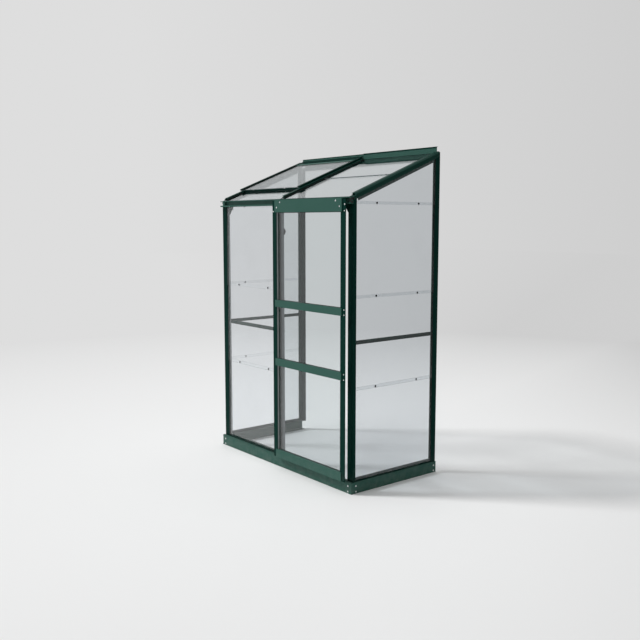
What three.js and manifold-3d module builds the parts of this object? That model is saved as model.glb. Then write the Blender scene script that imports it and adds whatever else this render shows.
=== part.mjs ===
// Lean-to greenhouse for a house wall: three base rails, glazed sides, a sliding door and a roof vent.
// Millimetres, +Z up. The wall is the plane at the back, and the door faces -Y.
import * as THREE from 'three';
import { mergeVertices } from 'three/addons/utils/BufferGeometryUtils.js';
import Module from 'manifold-3d';

const wasm = await Module();
wasm.setup();

// Driving sizes
const overrun = 20; // how far a cutting block reaches past what it cuts
const clearance = 0.3; // between pieces that sit on or against each other
const weld = 0.001; // corners closer than this are one corner
const roundSteps = 28; // flats round a wheel, pin or hinge bead
const base = { width: 1290, depth: 653, height: 62, flange: 32, wall: 2.5, recess: 1.6, lip: 5 };
const rib = { setback: 4, width: 2.5, height: 5 }; // fin on the front rail that guides the foot of the door
const post = { sideInset: 8, frontInset: 18 }; // faces of the posts, behind the faces of the base
const glass = { thickness: 3, slack: 0.4, sideInset: 7, frontInset: 8, edgeGap: 1.2 };
const course = { height: 508, lap: 16 }; // each pane hangs over the one below
const sill = { ledge: 5.5, upstand: 20 };
const cornerPost = {
  width: 43, depth: 18, // outer faces, to the front and to the side
  core: 31, coreDepth: 11, // hollow corner inside the panes
  frontReach: 60, sideReach: 22, flange: 2.6, // plates behind the panes
};
const middlePost = { centre: -37, capWidth: 26, stemWidth: 9, flangeWidth: 46 };
const wallPost = { width: 39, box: 15, wall: 2.5, core: 13, pocket: 22, side: 33, sideReach: 40 };
const groove = { width: 2, depth: 1.2 };
const eaves = { top: 1580, height: 35, depth: 20, wall: 2.5, endInset: 5, lowerReturn: 5.5, upperReturn: 4 };
const eavesRebate = { rise: 15, cover: 12, frontLip: 2.6 };
const roof = { pitchDegrees: 21.45, barSetback: 33, rest: 4 };
const bar = {
  shoulder: 12, shoulderDrop: 6, cap: 37, skin: 2.5, capRise: 3, // room for a seal between cap and pane
  core: 30, shelfReach: 41, web: 28, depth: 45, // hollow core, shelf for the pane, and plates below it
};
const centreBar = { capWidth: 24, stemWidth: 10, shelfWidth: 28, depth: 19, footWidth: 16, foot: 2.5 };
const ridge = {
  endInset: 27, rise: 22.88, height: 75.7, wall: 2.5, // its top stands 'rise' above the roof plane at the wall
  hingeOut: 10, hingeRise: 7.6, // hinge axis, out from the wall and above the bar tops
  flangeReach: 14,
};
const socket = { bore: 4.8, wall: 2.4, fromDegrees: -136, toDegrees: 130 };
const cover = { start: 8, thickness: 2, topReturn: 9, pastEnd: 13 };
const brace = { height: 816, width: 20, leg: 11.7, wall: 2.5, wallGap: 9 };
const gusset = { width: 68, height: 82, foot: 16, thickness: 2, inset: 33, tuck: 20 };
const roofLap = { fromFront: 297, overlap: 16, wallGap: 5 };
const door = {
  pastPost: 17, endInset: 11, // edges: right of the middle post's centre, and inside the corner post's face
  bottom: 70, top: 1576,
  standOff: 11, depth: 26, // gap in front of the base, and thickness
  stile: 39, stileSet: 5.3, // stiles stand behind the faces of the rails
  wing: 4, body: 19, // thin outer edge and hollow inner edge of a stile
};
const doorRail = { overlap: 13, plate: 5, backSet: 2, pocket: 6, wall: 2.5 };
const doorGlass = { setback: 14, pocket: 8 };
const screwRecess = { radius: 5, depth: 1.9, places: [[50, 13.5], [19, 43]] }; // in from the ends, down from the top
const railHeights = { bottom: 48, lower: 42, upper: 40, top: 70 };
const railFeet = { bottom: 70, lower: 620, upper: 964, top: 1505 };
const wheel = { radius: 11, width: 7, bore: 3.4, bevel: 1.5, fromEnd: 80 };
const axle = { radius: 3, head: 5, headWidth: 1.5, flange: 6.5, flangeWidth: 2 };
const guide = { width: 30, thickness: 6, leg: 4.9, fromEnd: 60, running: 0.6 };
const stop = { length: 14, leftInset: 30 };
const vent = {
  endInset: 1, fromCentre: 4, footLap: 7.4, rail: 20, // its foot lies 'footLap' over the back of its sill
  top: 4, bottom: 7.1, // faces above and below the hinge axis
  neck: 3, gap: 9, bead: 4,
};
const ventGlass = { lift: -5.2, cover: 12, slack: 0.3 };
const ventSill = { setback: 118, width: 20, depth: 11.8, wall: 2.5, cleat: 60, cleatDrop: 6.3 };
const stay = { fromEnd: 176, length: 280, width: 12, thickness: 2.5, hole: 3, gap: 2 };
const stayPin = { radius: 2.5, head: 5, headHeight: 2 };
const stayHoles = { count: 3, pitch: 30, fromEnd: 14 };
const peg = { radius: 2.5, plateWidth: 16, plateReach: 14, plate: 2, fromPivotShares: [0.3, 0.8] };

// Planes that the sizes above fix
const halfPosts = base.width / 2 - post.sideInset;
const frontPlane = -(base.depth - post.frontInset);
const pitch = THREE.MathUtils.degToRad(roof.pitchDegrees);
const lapStep = glass.thickness + clearance;
const sidePlate = glass.sideInset - lapStep - clearance;
const frontPlate = glass.frontInset - lapStep - clearance;
const behindSideGlass = glass.sideInset + glass.thickness + glass.slack;
const behindFrontGlass = glass.frontInset + glass.thickness + glass.slack;
const sideFlangeBack = behindSideGlass + cornerPost.flange;
const frontFlangeBack = behindFrontGlass + cornerPost.flange;
const glassFoot = base.height + clearance + sill.ledge + clearance;
const postFoot = base.height + clearance;
const upperPaneTop = bar.skin + bar.capRise + clearance + clearance; // depth of the upper roof pane below the bar tops
const lowerPaneTop = upperPaneTop + lapStep;
const bedDepth = lowerPaneTop + lapStep;
const eavesBack = frontPlane - clearance;
const roofStartY = -(base.depth - roof.barSetback);
const paneFootY = eavesBack - roof.rest;
const paneFootZ = eaves.top + clearance + (lowerPaneTop + glass.thickness) / Math.cos(pitch);
const roofStartZ = paneFootZ + (roofStartY - paneFootY) * Math.tan(pitch);
const eavesFront = eavesBack - eaves.depth;
const eavesFoot = eaves.top - eaves.height;
const doorBack = -(base.depth + door.standOff);
const doorFront = doorBack - door.depth;
const stileFront = doorFront + door.stileSet;
const doorLeft = middlePost.centre + door.pastPost;
const doorRight = halfPosts - door.endInset;
const overallDepth = -doorFront;

const railPaint = new THREE.MeshStandardMaterial({ color: 0x3b5f55, roughness: 0.45, metalness: 0.1 });
const barPaint = new THREE.MeshStandardMaterial({ color: 0x1d4038, roughness: 0.45, metalness: 0.1 });
const clearGlass = new THREE.MeshStandardMaterial({
  color: 0xdfeeea,
  roughness: 0.03,
  metalness: 0,
  transparent: true,
  opacity: 0.3,
});
const blackPlastic = new THREE.MeshStandardMaterial({ color: 0x1b1d1c, roughness: 0.6, metalness: 0 });
const zincSteel = new THREE.MeshStandardMaterial({ color: 0xb9bdbb, roughness: 0.35, metalness: 0.9 });

// World height of the plane through the tops of the roof bars, at a place in front of the wall
function roofPlane(y) {
  return roofStartZ + (y - roofStartY) * Math.tan(pitch);
}

// World place (y, z) of a point given up the slope and above the tops of the roof bars
function onRoof(along, above) {
  const y = roofStartY + along * Math.cos(pitch) - above * Math.sin(pitch);
  const z = roofStartZ + along * Math.sin(pitch) + above * Math.cos(pitch);
  return [y, z];
}

// Distance up the slope at which a line that lies 'above' the bar tops reaches a world y
function slopeAt(y, above) {
  return (y - roofStartY + above * Math.sin(pitch)) / Math.cos(pitch);
}

// Heights and places up the slope that the roof plane fixes
const ridgeTop = roofPlane(0) + ridge.rise;
const ridgeFoot = ridgeTop - ridge.height;
const halfRidge = halfPosts - ridge.endInset;
const hingeSlope = slopeAt(-ridge.hingeOut, ridge.hingeRise);
const socketOuter = socket.bore + socket.wall;
const ventLeft = -(halfPosts - vent.endInset);
const ventRight = -vent.fromCentre;
const ventLength = hingeSlope - (ventSill.setback + ventSill.width - vent.footLap);
const stayLine = ventSill.setback + ventSill.width + stay.width / 2 + stay.gap;
const stayPivot = ventLeft + stay.fromEnd;

// Extrusion of an outline with rectangular holes, along local Z from 0
function prism(outline, length, holes = []) {
  const ring = (points, clockwise) => {
    const vectors = points.map(([u, v]) => new THREE.Vector2(u, v));
    return THREE.ShapeUtils.isClockWise(vectors) === clockwise ? vectors : vectors.reverse();
  };
  const shape = new THREE.Shape(ring(outline, false));
  for (const [u0, v0, u1, v1] of holes) {
    shape.holes.push(new THREE.Path(ring([[u0, v0], [u0, v1], [u1, v1], [u1, v0]], true)));
  }
  return new THREE.ExtrudeGeometry(shape, { depth: length, bevelEnabled: false, curveSegments: roundSteps });
}

function axes(first, second, third) {
  const columns = [first, second, third].map((column) => new THREE.Vector3(...column));
  return new THREE.Matrix4().makeBasis(...columns);
}

// Bars along X from (y, z) outlines, along Y from (x, z) outlines and upright from (x, y) outlines
function alongX(outline, from, to, holes) {
  const turn = axes([0, 1, 0], [0, 0, 1], [1, 0, 0]);
  return prism(outline, to - from, holes).applyMatrix4(turn).translate(from, 0, 0);
}

function alongY(outline, from, to, holes) {
  const turn = axes([1, 0, 0], [0, 0, 1], [0, -1, 0]);
  return prism(outline, to - from, holes).applyMatrix4(turn).translate(0, to, 0);
}

function upright(outline, from, to, holes) {
  return prism(outline, to - from, holes).translate(0, 0, from);
}

function block(x0, x1, y0, y1, z0, z1) {
  return upright([[x0, y0], [x1, y0], [x1, y1], [x0, y1]], z0, z1);
}

// Solid turned about local Y from a closed profile of (radius, y) points
function turned(profile) {
  const points = [...profile, profile[0]].map(([r, y]) => new THREE.Vector2(r, y));
  return new THREE.LatheGeometry(points, roundSteps);
}

function arcPoints(centre, radius, fromDegrees, toDegrees) {
  const steps = Math.ceil((Math.abs(toDegrees - fromDegrees) / 360) * roundSteps);
  return Array.from({ length: steps + 1 }, (_, i) => {
    const angle = THREE.MathUtils.degToRad(fromDegrees + ((toDegrees - fromDegrees) * i) / steps);
    return [centre[0] + radius * Math.cos(angle), centre[1] + radius * Math.sin(angle)];
  });
}

function solidOf(geometry) {
  const bare = new THREE.BufferGeometry();
  const source = geometry.index ? geometry.toNonIndexed() : geometry;
  bare.setAttribute('position', source.getAttribute('position').clone());
  const merged = mergeVertices(bare, weld);
  const vertProperties = merged.getAttribute('position').array;
  const triVerts = new Uint32Array(merged.index.array);
  return new wasm.Manifold(new wasm.Mesh({ numProp: 3, vertProperties, triVerts }));
}

function geometryOf(solid) {
  const mesh = solid.getMesh();
  const geometry = new THREE.BufferGeometry();
  geometry.setAttribute('position', new THREE.BufferAttribute(mesh.vertProperties.slice(), 3));
  geometry.setIndex(new THREE.BufferAttribute(mesh.triVerts.slice(), 1));
  geometry.computeVertexNormals();
  return geometry;
}

function joined(...geometries) {
  return geometryOf(geometries.map(solidOf).reduce((whole, next) => whole.add(next)));
}

function cutBy(geometry, ...cutters) {
  return geometryOf(cutters.map(solidOf).reduce((whole, next) => whole.subtract(next), solidOf(geometry)));
}

// Moves the vertices of both ends of a bar: 'axis' is its direction, and each end takes its new place
function shapeEnds(geometry, axis, lowEnd, highEnd) {
  const position = geometry.getAttribute('position');
  const point = new THREE.Vector3();
  geometry.computeBoundingBox();
  const middle = (geometry.boundingBox.min[axis] + geometry.boundingBox.max[axis]) / 2;
  for (let i = 0; i < position.count; i += 1) {
    point.fromBufferAttribute(position, i);
    const place = point[axis] < middle ? lowEnd : highEnd;
    point[axis] = place(point);
    position.setXYZ(i, point.x, point.y, point.z);
  }
  return geometry;
}

// Four points of a groove sunk into an outline's edge, along the first or the second coordinate
function grooveAlong(centre) {
  const low = centre - groove.width / 2;
  const high = centre + groove.width / 2;
  return [[low, 0], [low, groove.depth], [high, groove.depth], [high, 0]];
}

function grooveAcross(centre) {
  return grooveAlong(centre).map(([u, v]) => [v, u]).reverse();
}

const greenhouse = new THREE.Group();
greenhouse.position.y = overallDepth / 2;
const roofFrame = new THREE.Group();
roofFrame.position.set(0, roofStartY, roofStartZ);
roofFrame.rotation.x = pitch;
greenhouse.add(roofFrame);
const ventFrame = new THREE.Group();
roofFrame.add(ventFrame);

function add(name, geometry, material = barPaint, parent = greenhouse) {
  const mesh = new THREE.Mesh(geometry, material);
  mesh.name = name;
  parent.add(mesh);
  return mesh;
}

// Base rail section: distance in from its outer face, and height
function baseRailOutline() {
  const { height, flange, wall, recess, lip } = base;
  return [
    [0, 0], [flange, 0], [flange, wall], [recess + wall, wall],
    [recess + wall, height - wall], [flange, height - wall], [flange, height], [0, height],
    [0, height - lip], [recess, height - lip], [recess, lip], [0, lip],
  ];
}

function baseRails() {
  const half = base.width / 2;
  const front = -base.depth;
  const frontOutline = baseRailOutline().map(([u, z]) => [front + u, z]);
  const mitreLow = (p) => -half + (p.y - front) + clearance / 2;
  const mitreHigh = (p) => half - (p.y - front) - clearance / 2;
  const rail = shapeEnds(alongX(frontOutline, -half, half), 'x', mitreLow, mitreHigh);
  const ribFront = front + rib.setback;
  const ribFoot = base.height - base.wall / 2;
  const ribEnd = half - rib.setback - rib.width - clearance;
  const fin = block(-ribEnd, ribEnd, ribFront, ribFront + rib.width, ribFoot, base.height + rib.height);
  add('base_front_rail', joined(rail, fin), railPaint);
  for (const [name, side] of [['base_left_rail', -1], ['base_right_rail', 1]]) {
    const outline = baseRailOutline().map(([u, z]) => [side * (half - u), z]);
    const mitre = (p) => front + (half - Math.abs(p.x)) + clearance / 2;
    add(name, shapeEnds(alongY(outline, front, 0), 'y', mitre, () => 0), railPaint);
  }
}

// Glazing sills on the base: an outer ledge under the panes and an upstand behind them
function sills() {
  const low = postFoot;
  const ledgeTop = low + sill.ledge;
  const outlineFor = (inner, back) => [
    [0, low], [back, low], [back, base.height + sill.upstand], [inner, base.height + sill.upstand],
    [inner, ledgeTop], [0, ledgeTop],
  ];
  const start = frontPlane + cornerPost.depth + clearance;
  const end = -(wallPost.side + clearance);
  const flangeEnd = frontPlane + cornerPost.sideReach + clearance;
  const wallFlangeEnd = -(wallPost.sideReach + clearance);
  for (const [name, side] of [['left_side_sill', -1], ['right_side_sill', 1]]) {
    const outline = outlineFor(behindSideGlass, sideFlangeBack).map(([a, z]) => [side * (halfPosts - a), z]);
    const reach = halfPosts - behindSideGlass + clearance;
    const [x0, x1] = side < 0 ? [-reach, -reach + overrun] : [reach - overrun, reach];
    const top = base.height + sill.upstand + overrun;
    const frontCut = block(x0, x1, start - overrun, flangeEnd, low - overrun, top);
    const backCut = block(x0, x1, wallFlangeEnd, end + overrun, low - overrun, top);
    add(name, cutBy(alongY(outline, start, end), frontCut, backCut));
  }
  const left = -(halfPosts - cornerPost.width) + clearance;
  const right = middlePost.centre - middlePost.capWidth / 2 - clearance;
  const leftFlange = -(halfPosts - cornerPost.frontReach) + clearance;
  const rightFlange = middlePost.centre - middlePost.flangeWidth / 2 - clearance;
  const outline = outlineFor(behindFrontGlass, frontFlangeBack).map(([b, z]) => [frontPlane + b, z]);
  const top = base.height + sill.upstand + overrun;
  const y0 = frontPlane + behindFrontGlass - clearance;
  const leftCut = block(left - overrun, leftFlange, y0, y0 + overrun, low - overrun, top);
  const rightCut = block(rightFlange, right + overrun, y0, y0 + overrun, low - overrun, top);
  add('front_sill', cutBy(alongX(outline, left, right), leftCut, rightCut));
}

// Height of the underside of the gable bar's outer web
function underGable(p) {
  return roofPlane(p.y) - (bar.web + clearance) / Math.cos(pitch);
}

// Corner posts: grooved nose outside, glass pockets on both sides, flanges behind the glass
function cornerPosts() {
  const { width, depth, core, coreDepth, frontReach, sideReach } = cornerPost;
  const skin = cornerPost.flange;
  const outline = [
    [0, 0], ...grooveAlong(width / 3), ...grooveAlong((2 * width) / 3), [width, 0], [width, frontPlate],
    [core, frontPlate], [core, behindFrontGlass], [frontReach, behindFrontGlass],
    [frontReach, frontFlangeBack], [sideFlangeBack, frontFlangeBack], [sideFlangeBack, sideReach],
    [behindSideGlass, sideReach], [behindSideGlass, coreDepth], [sidePlate, coreDepth],
    [sidePlate, depth], [0, depth], ...grooveAcross(depth / 2),
  ];
  const hole = [sidePlate + clearance, frontPlate + clearance, core - skin, coreDepth - skin];
  for (const [name, side] of [['corner_post_left', -1], ['corner_post_right', 1]]) {
    const place = ([a, b]) => [side * (halfPosts - a), frontPlane + b];
    const [x0, y0] = place([hole[0], hole[1]]);
    const [x1, y1] = place([hole[2], hole[3]]);
    const geometry = upright(outline.map(place), postFoot, eaves.top, [[x0, y0, x1, y1]]);
    add(name, shapeEnds(geometry, 'z', () => postFoot, underGable));
  }
}

// Middle post beside the doorway: a cap outside, a stem, and a flange behind the glass
function middlePostBar() {
  const { centre, capWidth, stemWidth, flangeWidth } = middlePost;
  const [cap, stem, flange] = [capWidth / 2, stemWidth / 2, flangeWidth / 2];
  const outline = [
    [-cap, 0], ...grooveAlong(0), [cap, 0], [cap, frontPlate], [stem, frontPlate], [stem, behindFrontGlass],
    [flange, behindFrontGlass], [flange, frontFlangeBack], [-flange, frontFlangeBack],
    [-flange, behindFrontGlass], [-stem, behindFrontGlass], [-stem, frontPlate], [-cap, frontPlate],
  ];
  const placed = outline.map(([x, b]) => [centre + x, frontPlane + b]);
  add('middle_post', upright(placed, postFoot, eaves.top - eaves.wall));
}

// Wall posts: a flat back to the wall, a channel beside it and a pocket for the side panes
function wallPosts() {
  const { width, box, wall, core, pocket, side: sideDepth, sideReach } = wallPost;
  const outline = [
    [0, 0], [width, 0], [width, wall], [core, wall], [core, box - wall], [width, box - wall],
    [width, box], [core, box], [core, sideReach], [behindSideGlass, sideReach],
    [behindSideGlass, pocket], [sidePlate, pocket], [sidePlate, sideDepth], [0, sideDepth],
    ...grooveAcross(pocket),
  ];
  const hole = [wall, wall + clearance, core - wall, pocket - wall];
  for (const [name, side] of [['wall_post_left', -1], ['wall_post_right', 1]]) {
    const place = ([a, c]) => [side * (halfPosts - a), -c];
    const [x0, y0] = place([hole[0], hole[1]]);
    const [x1, y1] = place([hole[2], hole[3]]);
    const geometry = upright(outline.map(place), postFoot, ridgeFoot, [[x0, y0, x1, y1]]);
    add(name, shapeEnds(geometry, 'z', () => postFoot, underGable));
  }
}

// Eaves beam: a channel open to the front that carries the door, with a rebate for the front pane
function eavesBeam() {
  const { top, wall, lowerReturn, upperReturn, endInset } = eaves;
  const end = halfPosts - endInset;
  const outline = [
    [eavesBack, eavesFoot], [eavesBack, top], [eavesFront, top], [eavesFront, top - upperReturn],
    [eavesFront + wall, top - upperReturn], [eavesFront + wall, top - wall], [eavesBack - wall, top - wall],
    [eavesBack - wall, eavesFoot + wall], [eavesFront + wall, eavesFoot + wall],
    [eavesFront + wall, eavesFoot + wall + lowerReturn], [eavesFront, eavesFoot + wall + lowerReturn],
    [eavesFront, eavesFoot],
  ];
  const channel = alongX(outline, -end, end);
  const rebateTop = eavesFoot + eavesRebate.rise + wall;
  const innerTop = rebateTop - wall;
  const lipFront = frontPlane + glass.frontInset - glass.slack - eavesRebate.frontLip;
  const rearLip = frontPlane + behindFrontGlass;
  const rearBack = frontPlane + frontFlangeBack;
  const rebate = [
    [eavesBack - wall / 2, rebateTop], [rearBack, rebateTop], [rearBack, eavesFoot], [rearLip, eavesFoot],
    [rearLip, innerTop], [lipFront + eavesRebate.frontLip, innerTop],
    [lipFront + eavesRebate.frontLip, rebateTop - eavesRebate.cover],
    [lipFront, rebateTop - eavesRebate.cover], [lipFront, innerTop], [eavesBack - wall / 2, innerTop],
  ];
  const left = -(halfPosts - cornerPost.frontReach) + clearance;
  const right = middlePost.centre - middlePost.flangeWidth / 2 - clearance;
  add('eaves_beam', joined(channel, alongX(rebate, left, right)), railPaint);
  for (const [name, side] of [['door_stop_left', -1], ['door_stop_right', 1]]) {
    const outer = side < 0 ? stop.leftInset - end : end;
    const [x0, x1] = side < 0 ? [outer, outer + stop.length] : [outer - stop.length, outer];
    const y0 = eavesFront + wall + clearance;
    const y1 = eavesBack - wall - clearance;
    const z0 = eavesFoot + wall + clearance;
    add(name, block(x0, x1, y0, y1, z0, top - wall - clearance), blackPlastic);
  }
}

// Braces across the middle of the glazed bays, and gusset plates under the eaves
function bracesAndGussets() {
  const { height, width, leg, wall } = brace;
  const low = height - width / 2;
  const high = height + width / 2;
  const angle = (back) => [
    [back, low], [back + wall, low], [back + wall, high - wall], [back + leg, high - wall],
    [back + leg, high], [back, high],
  ];
  const start = frontPlane + frontFlangeBack + clearance;
  const end = -(wallPost.box + brace.wallGap);
  for (const [name, side] of [['left_side_brace', -1], ['right_side_brace', 1]]) {
    const outline = angle(sideFlangeBack + clearance).map(([a, z]) => [side * (halfPosts - a), z]);
    add(name, alongY(outline, start, end));
  }
  const outline = angle(frontFlangeBack + clearance).map(([b, z]) => [frontPlane + b, z]);
  const left = -(halfPosts - cornerPost.core);
  add('front_brace', alongX(outline, left, middlePost.centre + middlePost.stemWidth));
  const top = eavesFoot + gusset.tuck;
  const y0 = frontPlane + frontFlangeBack + clearance;
  for (const [name, side] of [['eaves_gusset_left', -1], ['eaves_gusset_right', 1]]) {
    const a0 = gusset.inset;
    const corners = [
      [a0, top], [a0 + gusset.width, top], [a0 + gusset.width, eavesFoot],
      [a0 + gusset.foot, top - gusset.height], [a0, top - gusset.height],
    ];
    const plate = alongY(corners.map(([a, z]) => [side * (halfPosts - a), z]), y0, y0 + gusset.thickness);
    add(name, plate);
  }
}

const coursePitch = course.height - course.lap;
const lean = Math.asin(lapStep / coursePitch);

// One tilted course of a glazed wall, its outline seen from outside: its foot stands out over the pane below
function leaningPane(name, outline, turn, x, y, foot) {
  const geometry = prism(outline, glass.thickness).applyMatrix4(axes([1, 0, 0], [0, 0, 1], [0, -1, 0]));
  const mesh = add(name, geometry.translate(0, glass.thickness, 0), clearGlass);
  mesh.rotation.set(-lean, 0, turn, 'ZYX');
  mesh.position.set(x, y, foot);
}

// Panes of one side, from the base up: full courses and a sloping top piece under the gable bar
function sidePanes(name, side) {
  const y0 = frontPlane + cornerPost.coreDepth + glass.edgeGap;
  const y1 = -(wallPost.pocket + glass.edgeGap);
  const outer = halfPosts - glass.sideInset + lapStep;
  const topAt = (y) => roofPlane(y) - (bedDepth + bar.skin + glass.slack) / Math.cos(pitch);
  for (let i = 0, last = false; !last; i += 1) {
    const foot = glassFoot + i * coursePitch;
    last = foot + course.height > topAt(y0);
    const [frontTop, backTop] = last ? [topAt(y0) - foot, topAt(y1) - foot] : [course.height, course.height];
    const width = side * (y1 - y0);
    const outline = [[0, 0], [width, 0], [width, backTop], [0, frontTop]];
    leaningPane(`${name}_${i + 1}`, outline, (side * Math.PI) / 2, side * outer, y0, foot);
  }
}

// Panes of the fixed bay beside the door
function frontPanes() {
  const x0 = -(halfPosts - cornerPost.core) + glass.edgeGap;
  const x1 = middlePost.centre - middlePost.stemWidth / 2 - glass.edgeGap;
  const width = x1 - x0;
  const top = eavesFoot + eavesRebate.rise - clearance;
  const front = frontPlane + glass.frontInset - lapStep;
  for (let i = 0; glassFoot + i * coursePitch < top - course.lap * 2; i += 1) {
    const foot = glassFoot + i * coursePitch;
    const height = Math.min(course.height, top - foot);
    const outline = [[0, 0], [width, 0], [width, height], [0, height]];
    leaningPane(`front_pane_${i + 1}`, outline, 0, x0, front, foot);
  }
}

// Gable bar section: distance in from its outer face, and depth below its top
function gableBar(name, side) {
  const { shoulder, shoulderDrop, cap, skin, core, shelfReach, web, depth } = bar;
  const outline = [
    [shoulder, 0], [cap, 0], [cap, -skin], [core, -skin], [core, -bedDepth], [shelfReach, -bedDepth],
    [shelfReach, -bedDepth - skin], [sidePlate, -bedDepth - skin], [sidePlate, -web], [0, -web],
    ...grooveAcross(-(bedDepth + skin)).reverse(), [0, -shoulderDrop],
  ];
  const place = ([a, n]) => [side * (halfPosts - a), n];
  const [x0, n0] = place([shoulder, clearance - bedDepth]);
  const [x1, n1] = place([core - skin, -skin - clearance]);
  const beam = alongY(outline.map(place), 0, ridgeTop, [[x0, n0, x1, n1]]);
  const flangeStart = slopeAt(frontPlane + cornerPost.sideReach + clearance, 0) + clearance;
  const flangeEnd = slopeAt(-(wallPost.sideReach + clearance), -depth) - clearance;
  const flange = [
    [behindSideGlass, -bedDepth - skin / 2], [sideFlangeBack, -bedDepth - skin / 2],
    [sideFlangeBack, -depth], [behindSideGlass, -depth],
  ];
  const inner = alongY(flange.map(place), flangeStart, flangeEnd);
  const highEnd = (p) => slopeAt(-clearance, p.z);
  const barAndFlange = joined(shapeEnds(beam, 'y', barFoot, highEnd), inner);
  add(name, cutBy(barAndFlange, aboveEaves()), barPaint, roofFrame);
}

// Roof bars reach the back of the eaves beam with the part below the glass
function barFoot(p) {
  return slopeAt(eavesBack + clearance + clearance, p.z);
}

// Space in front of the upper part of the roof bars, in the roof's own frame
function aboveEaves() {
  const outline = [
    [-base.depth, -bedDepth], [slopeAt(roofStartY, -bedDepth), -bedDepth],
    [slopeAt(roofStartY, overrun), overrun], [-base.depth, overrun],
  ];
  return alongX(outline, -base.width, base.width);
}

// Roof bar between the two bays, with a tongue that runs on under the ridge flange
function centreRoofBar() {
  const { capWidth, stemWidth, shelfWidth, depth, footWidth, foot } = centreBar;
  const [cap, stem, shelf, toe] = [capWidth / 2, stemWidth / 2, shelfWidth / 2, footWidth / 2];
  const half = [
    [cap, 0], [cap, -bar.skin], [stem, -bar.skin], [stem, -bedDepth], [shelf, -bedDepth],
    [shelf, -bedDepth - bar.skin], [stem / 2, -bedDepth - bar.skin], [stem / 2, foot - depth],
    [toe, foot - depth], [toe, -depth],
  ];
  const outline = [...half, ...half.map(([x, n]) => [-x, n]).reverse()];
  const end = hingeSlope - ridge.flangeReach - clearance;
  const beam = alongY(outline, 0, end);
  const shaped = shapeEnds(beam, 'y', barFoot, () => end);
  const tongueTop = -(lowerPaneTop + bar.skin + clearance);
  const tongueEnd = slopeAt(-(ridge.wall + clearance), -depth) - clearance;
  const tongue = block(-stem / 2, stem / 2, end - overrun, tongueEnd, -depth, tongueTop);
  add('centre_roof_bar', cutBy(joined(shaped, tongue), aboveEaves()), barPaint, roofFrame);
}

// Ridge bar: wall plate, top lip, front web, flange under the glass and a hinge socket below the web
function ridgeBar() {
  const centre = onRoof(hingeSlope, ridge.hingeRise);
  const webBack = centre[0] + ridge.wall / 2;
  const webFront = centre[0] - ridge.wall / 2;
  const webFoot = centre[1] + socket.bore + clearance;
  const lipFoot = ridgeTop - ridge.wall;
  const wallPlate = [[-ridge.wall, ridgeFoot], [0, ridgeFoot], [0, ridgeTop], [-ridge.wall, ridgeTop]];
  const front = [
    [0, ridgeTop], [webFront, ridgeTop], [webFront, webFoot], [webBack, webFoot], [webBack, lipFoot], [0, lipFoot],
  ];
  const flangeTop = -lowerPaneTop;
  const flangeFoot = flangeTop - bar.skin;
  const flangeStart = hingeSlope - ridge.flangeReach;
  const flangeEnd = (above) => slopeAt(-ridge.wall / 2, above);
  const flange = [
    onRoof(flangeStart, flangeTop), onRoof(flangeStart, flangeFoot),
    onRoof(flangeEnd(flangeFoot), flangeFoot), onRoof(flangeEnd(flangeTop), flangeTop),
  ];
  const outer = arcPoints(centre, socketOuter, socket.fromDegrees, socket.toDegrees);
  const inner = arcPoints(centre, socket.bore, socket.toDegrees, socket.fromDegrees);
  const betweenBars = halfPosts - bar.shelfReach - clearance;
  const betweenCores = halfPosts - bar.core - clearance;
  add('ridge_bar', joined(
    alongX(wallPlate, -betweenBars, betweenBars),
    alongX(flange, -betweenCores, betweenCores),
    alongX(front, -halfRidge, halfRidge),
    alongX([...outer, ...inner], -halfRidge, cover.start - clearance),
  ), railPaint);
  const coverBack = webFront - clearance;
  const coverFront = coverBack - cover.thickness;
  const coverFoot = roofPlane(coverBack) + clearance;
  const returnFoot = ridgeTop + clearance;
  const outline = [
    [coverFront, coverFoot], [coverBack, coverFoot], [coverBack, returnFoot],
    [coverFront + cover.topReturn, returnFoot],
    [coverFront + cover.topReturn, returnFoot + cover.thickness], [coverFront, returnFoot + cover.thickness],
  ];
  add('ridge_cover', alongX(outline, cover.start, halfRidge + cover.pastEnd), railPaint);
}

// Roof panes: two lapped panes in the right bay and a short fixed one below the vent
function roofPanes() {
  const left = centreBar.stemWidth / 2 + glass.edgeGap;
  const right = halfPosts - bar.core - glass.edgeGap;
  const start = slopeAt(paneFootY, -lowerPaneTop - glass.thickness);
  const lapTop = slopeAt(roofStartY + roofLap.fromFront, -upperPaneTop) + roofLap.overlap / 2;
  const end = slopeAt(-roofLap.wallGap, -upperPaneTop);
  const pane = (name, x0, x1, s0, s1, top) =>
    add(name, block(x0, x1, s0, s1, -top - glass.thickness, -top), clearGlass, roofFrame);
  pane('roof_pane_lower', left, right, start, lapTop, lowerPaneTop);
  pane('roof_pane_upper', left, right, lapTop - roofLap.overlap, end, upperPaneTop);
  const sillBack = ventSill.setback + ventSill.width - ventSill.wall - clearance;
  pane('roof_pane_fixed', -right, -left, start, sillBack, lowerPaneTop);
}

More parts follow.
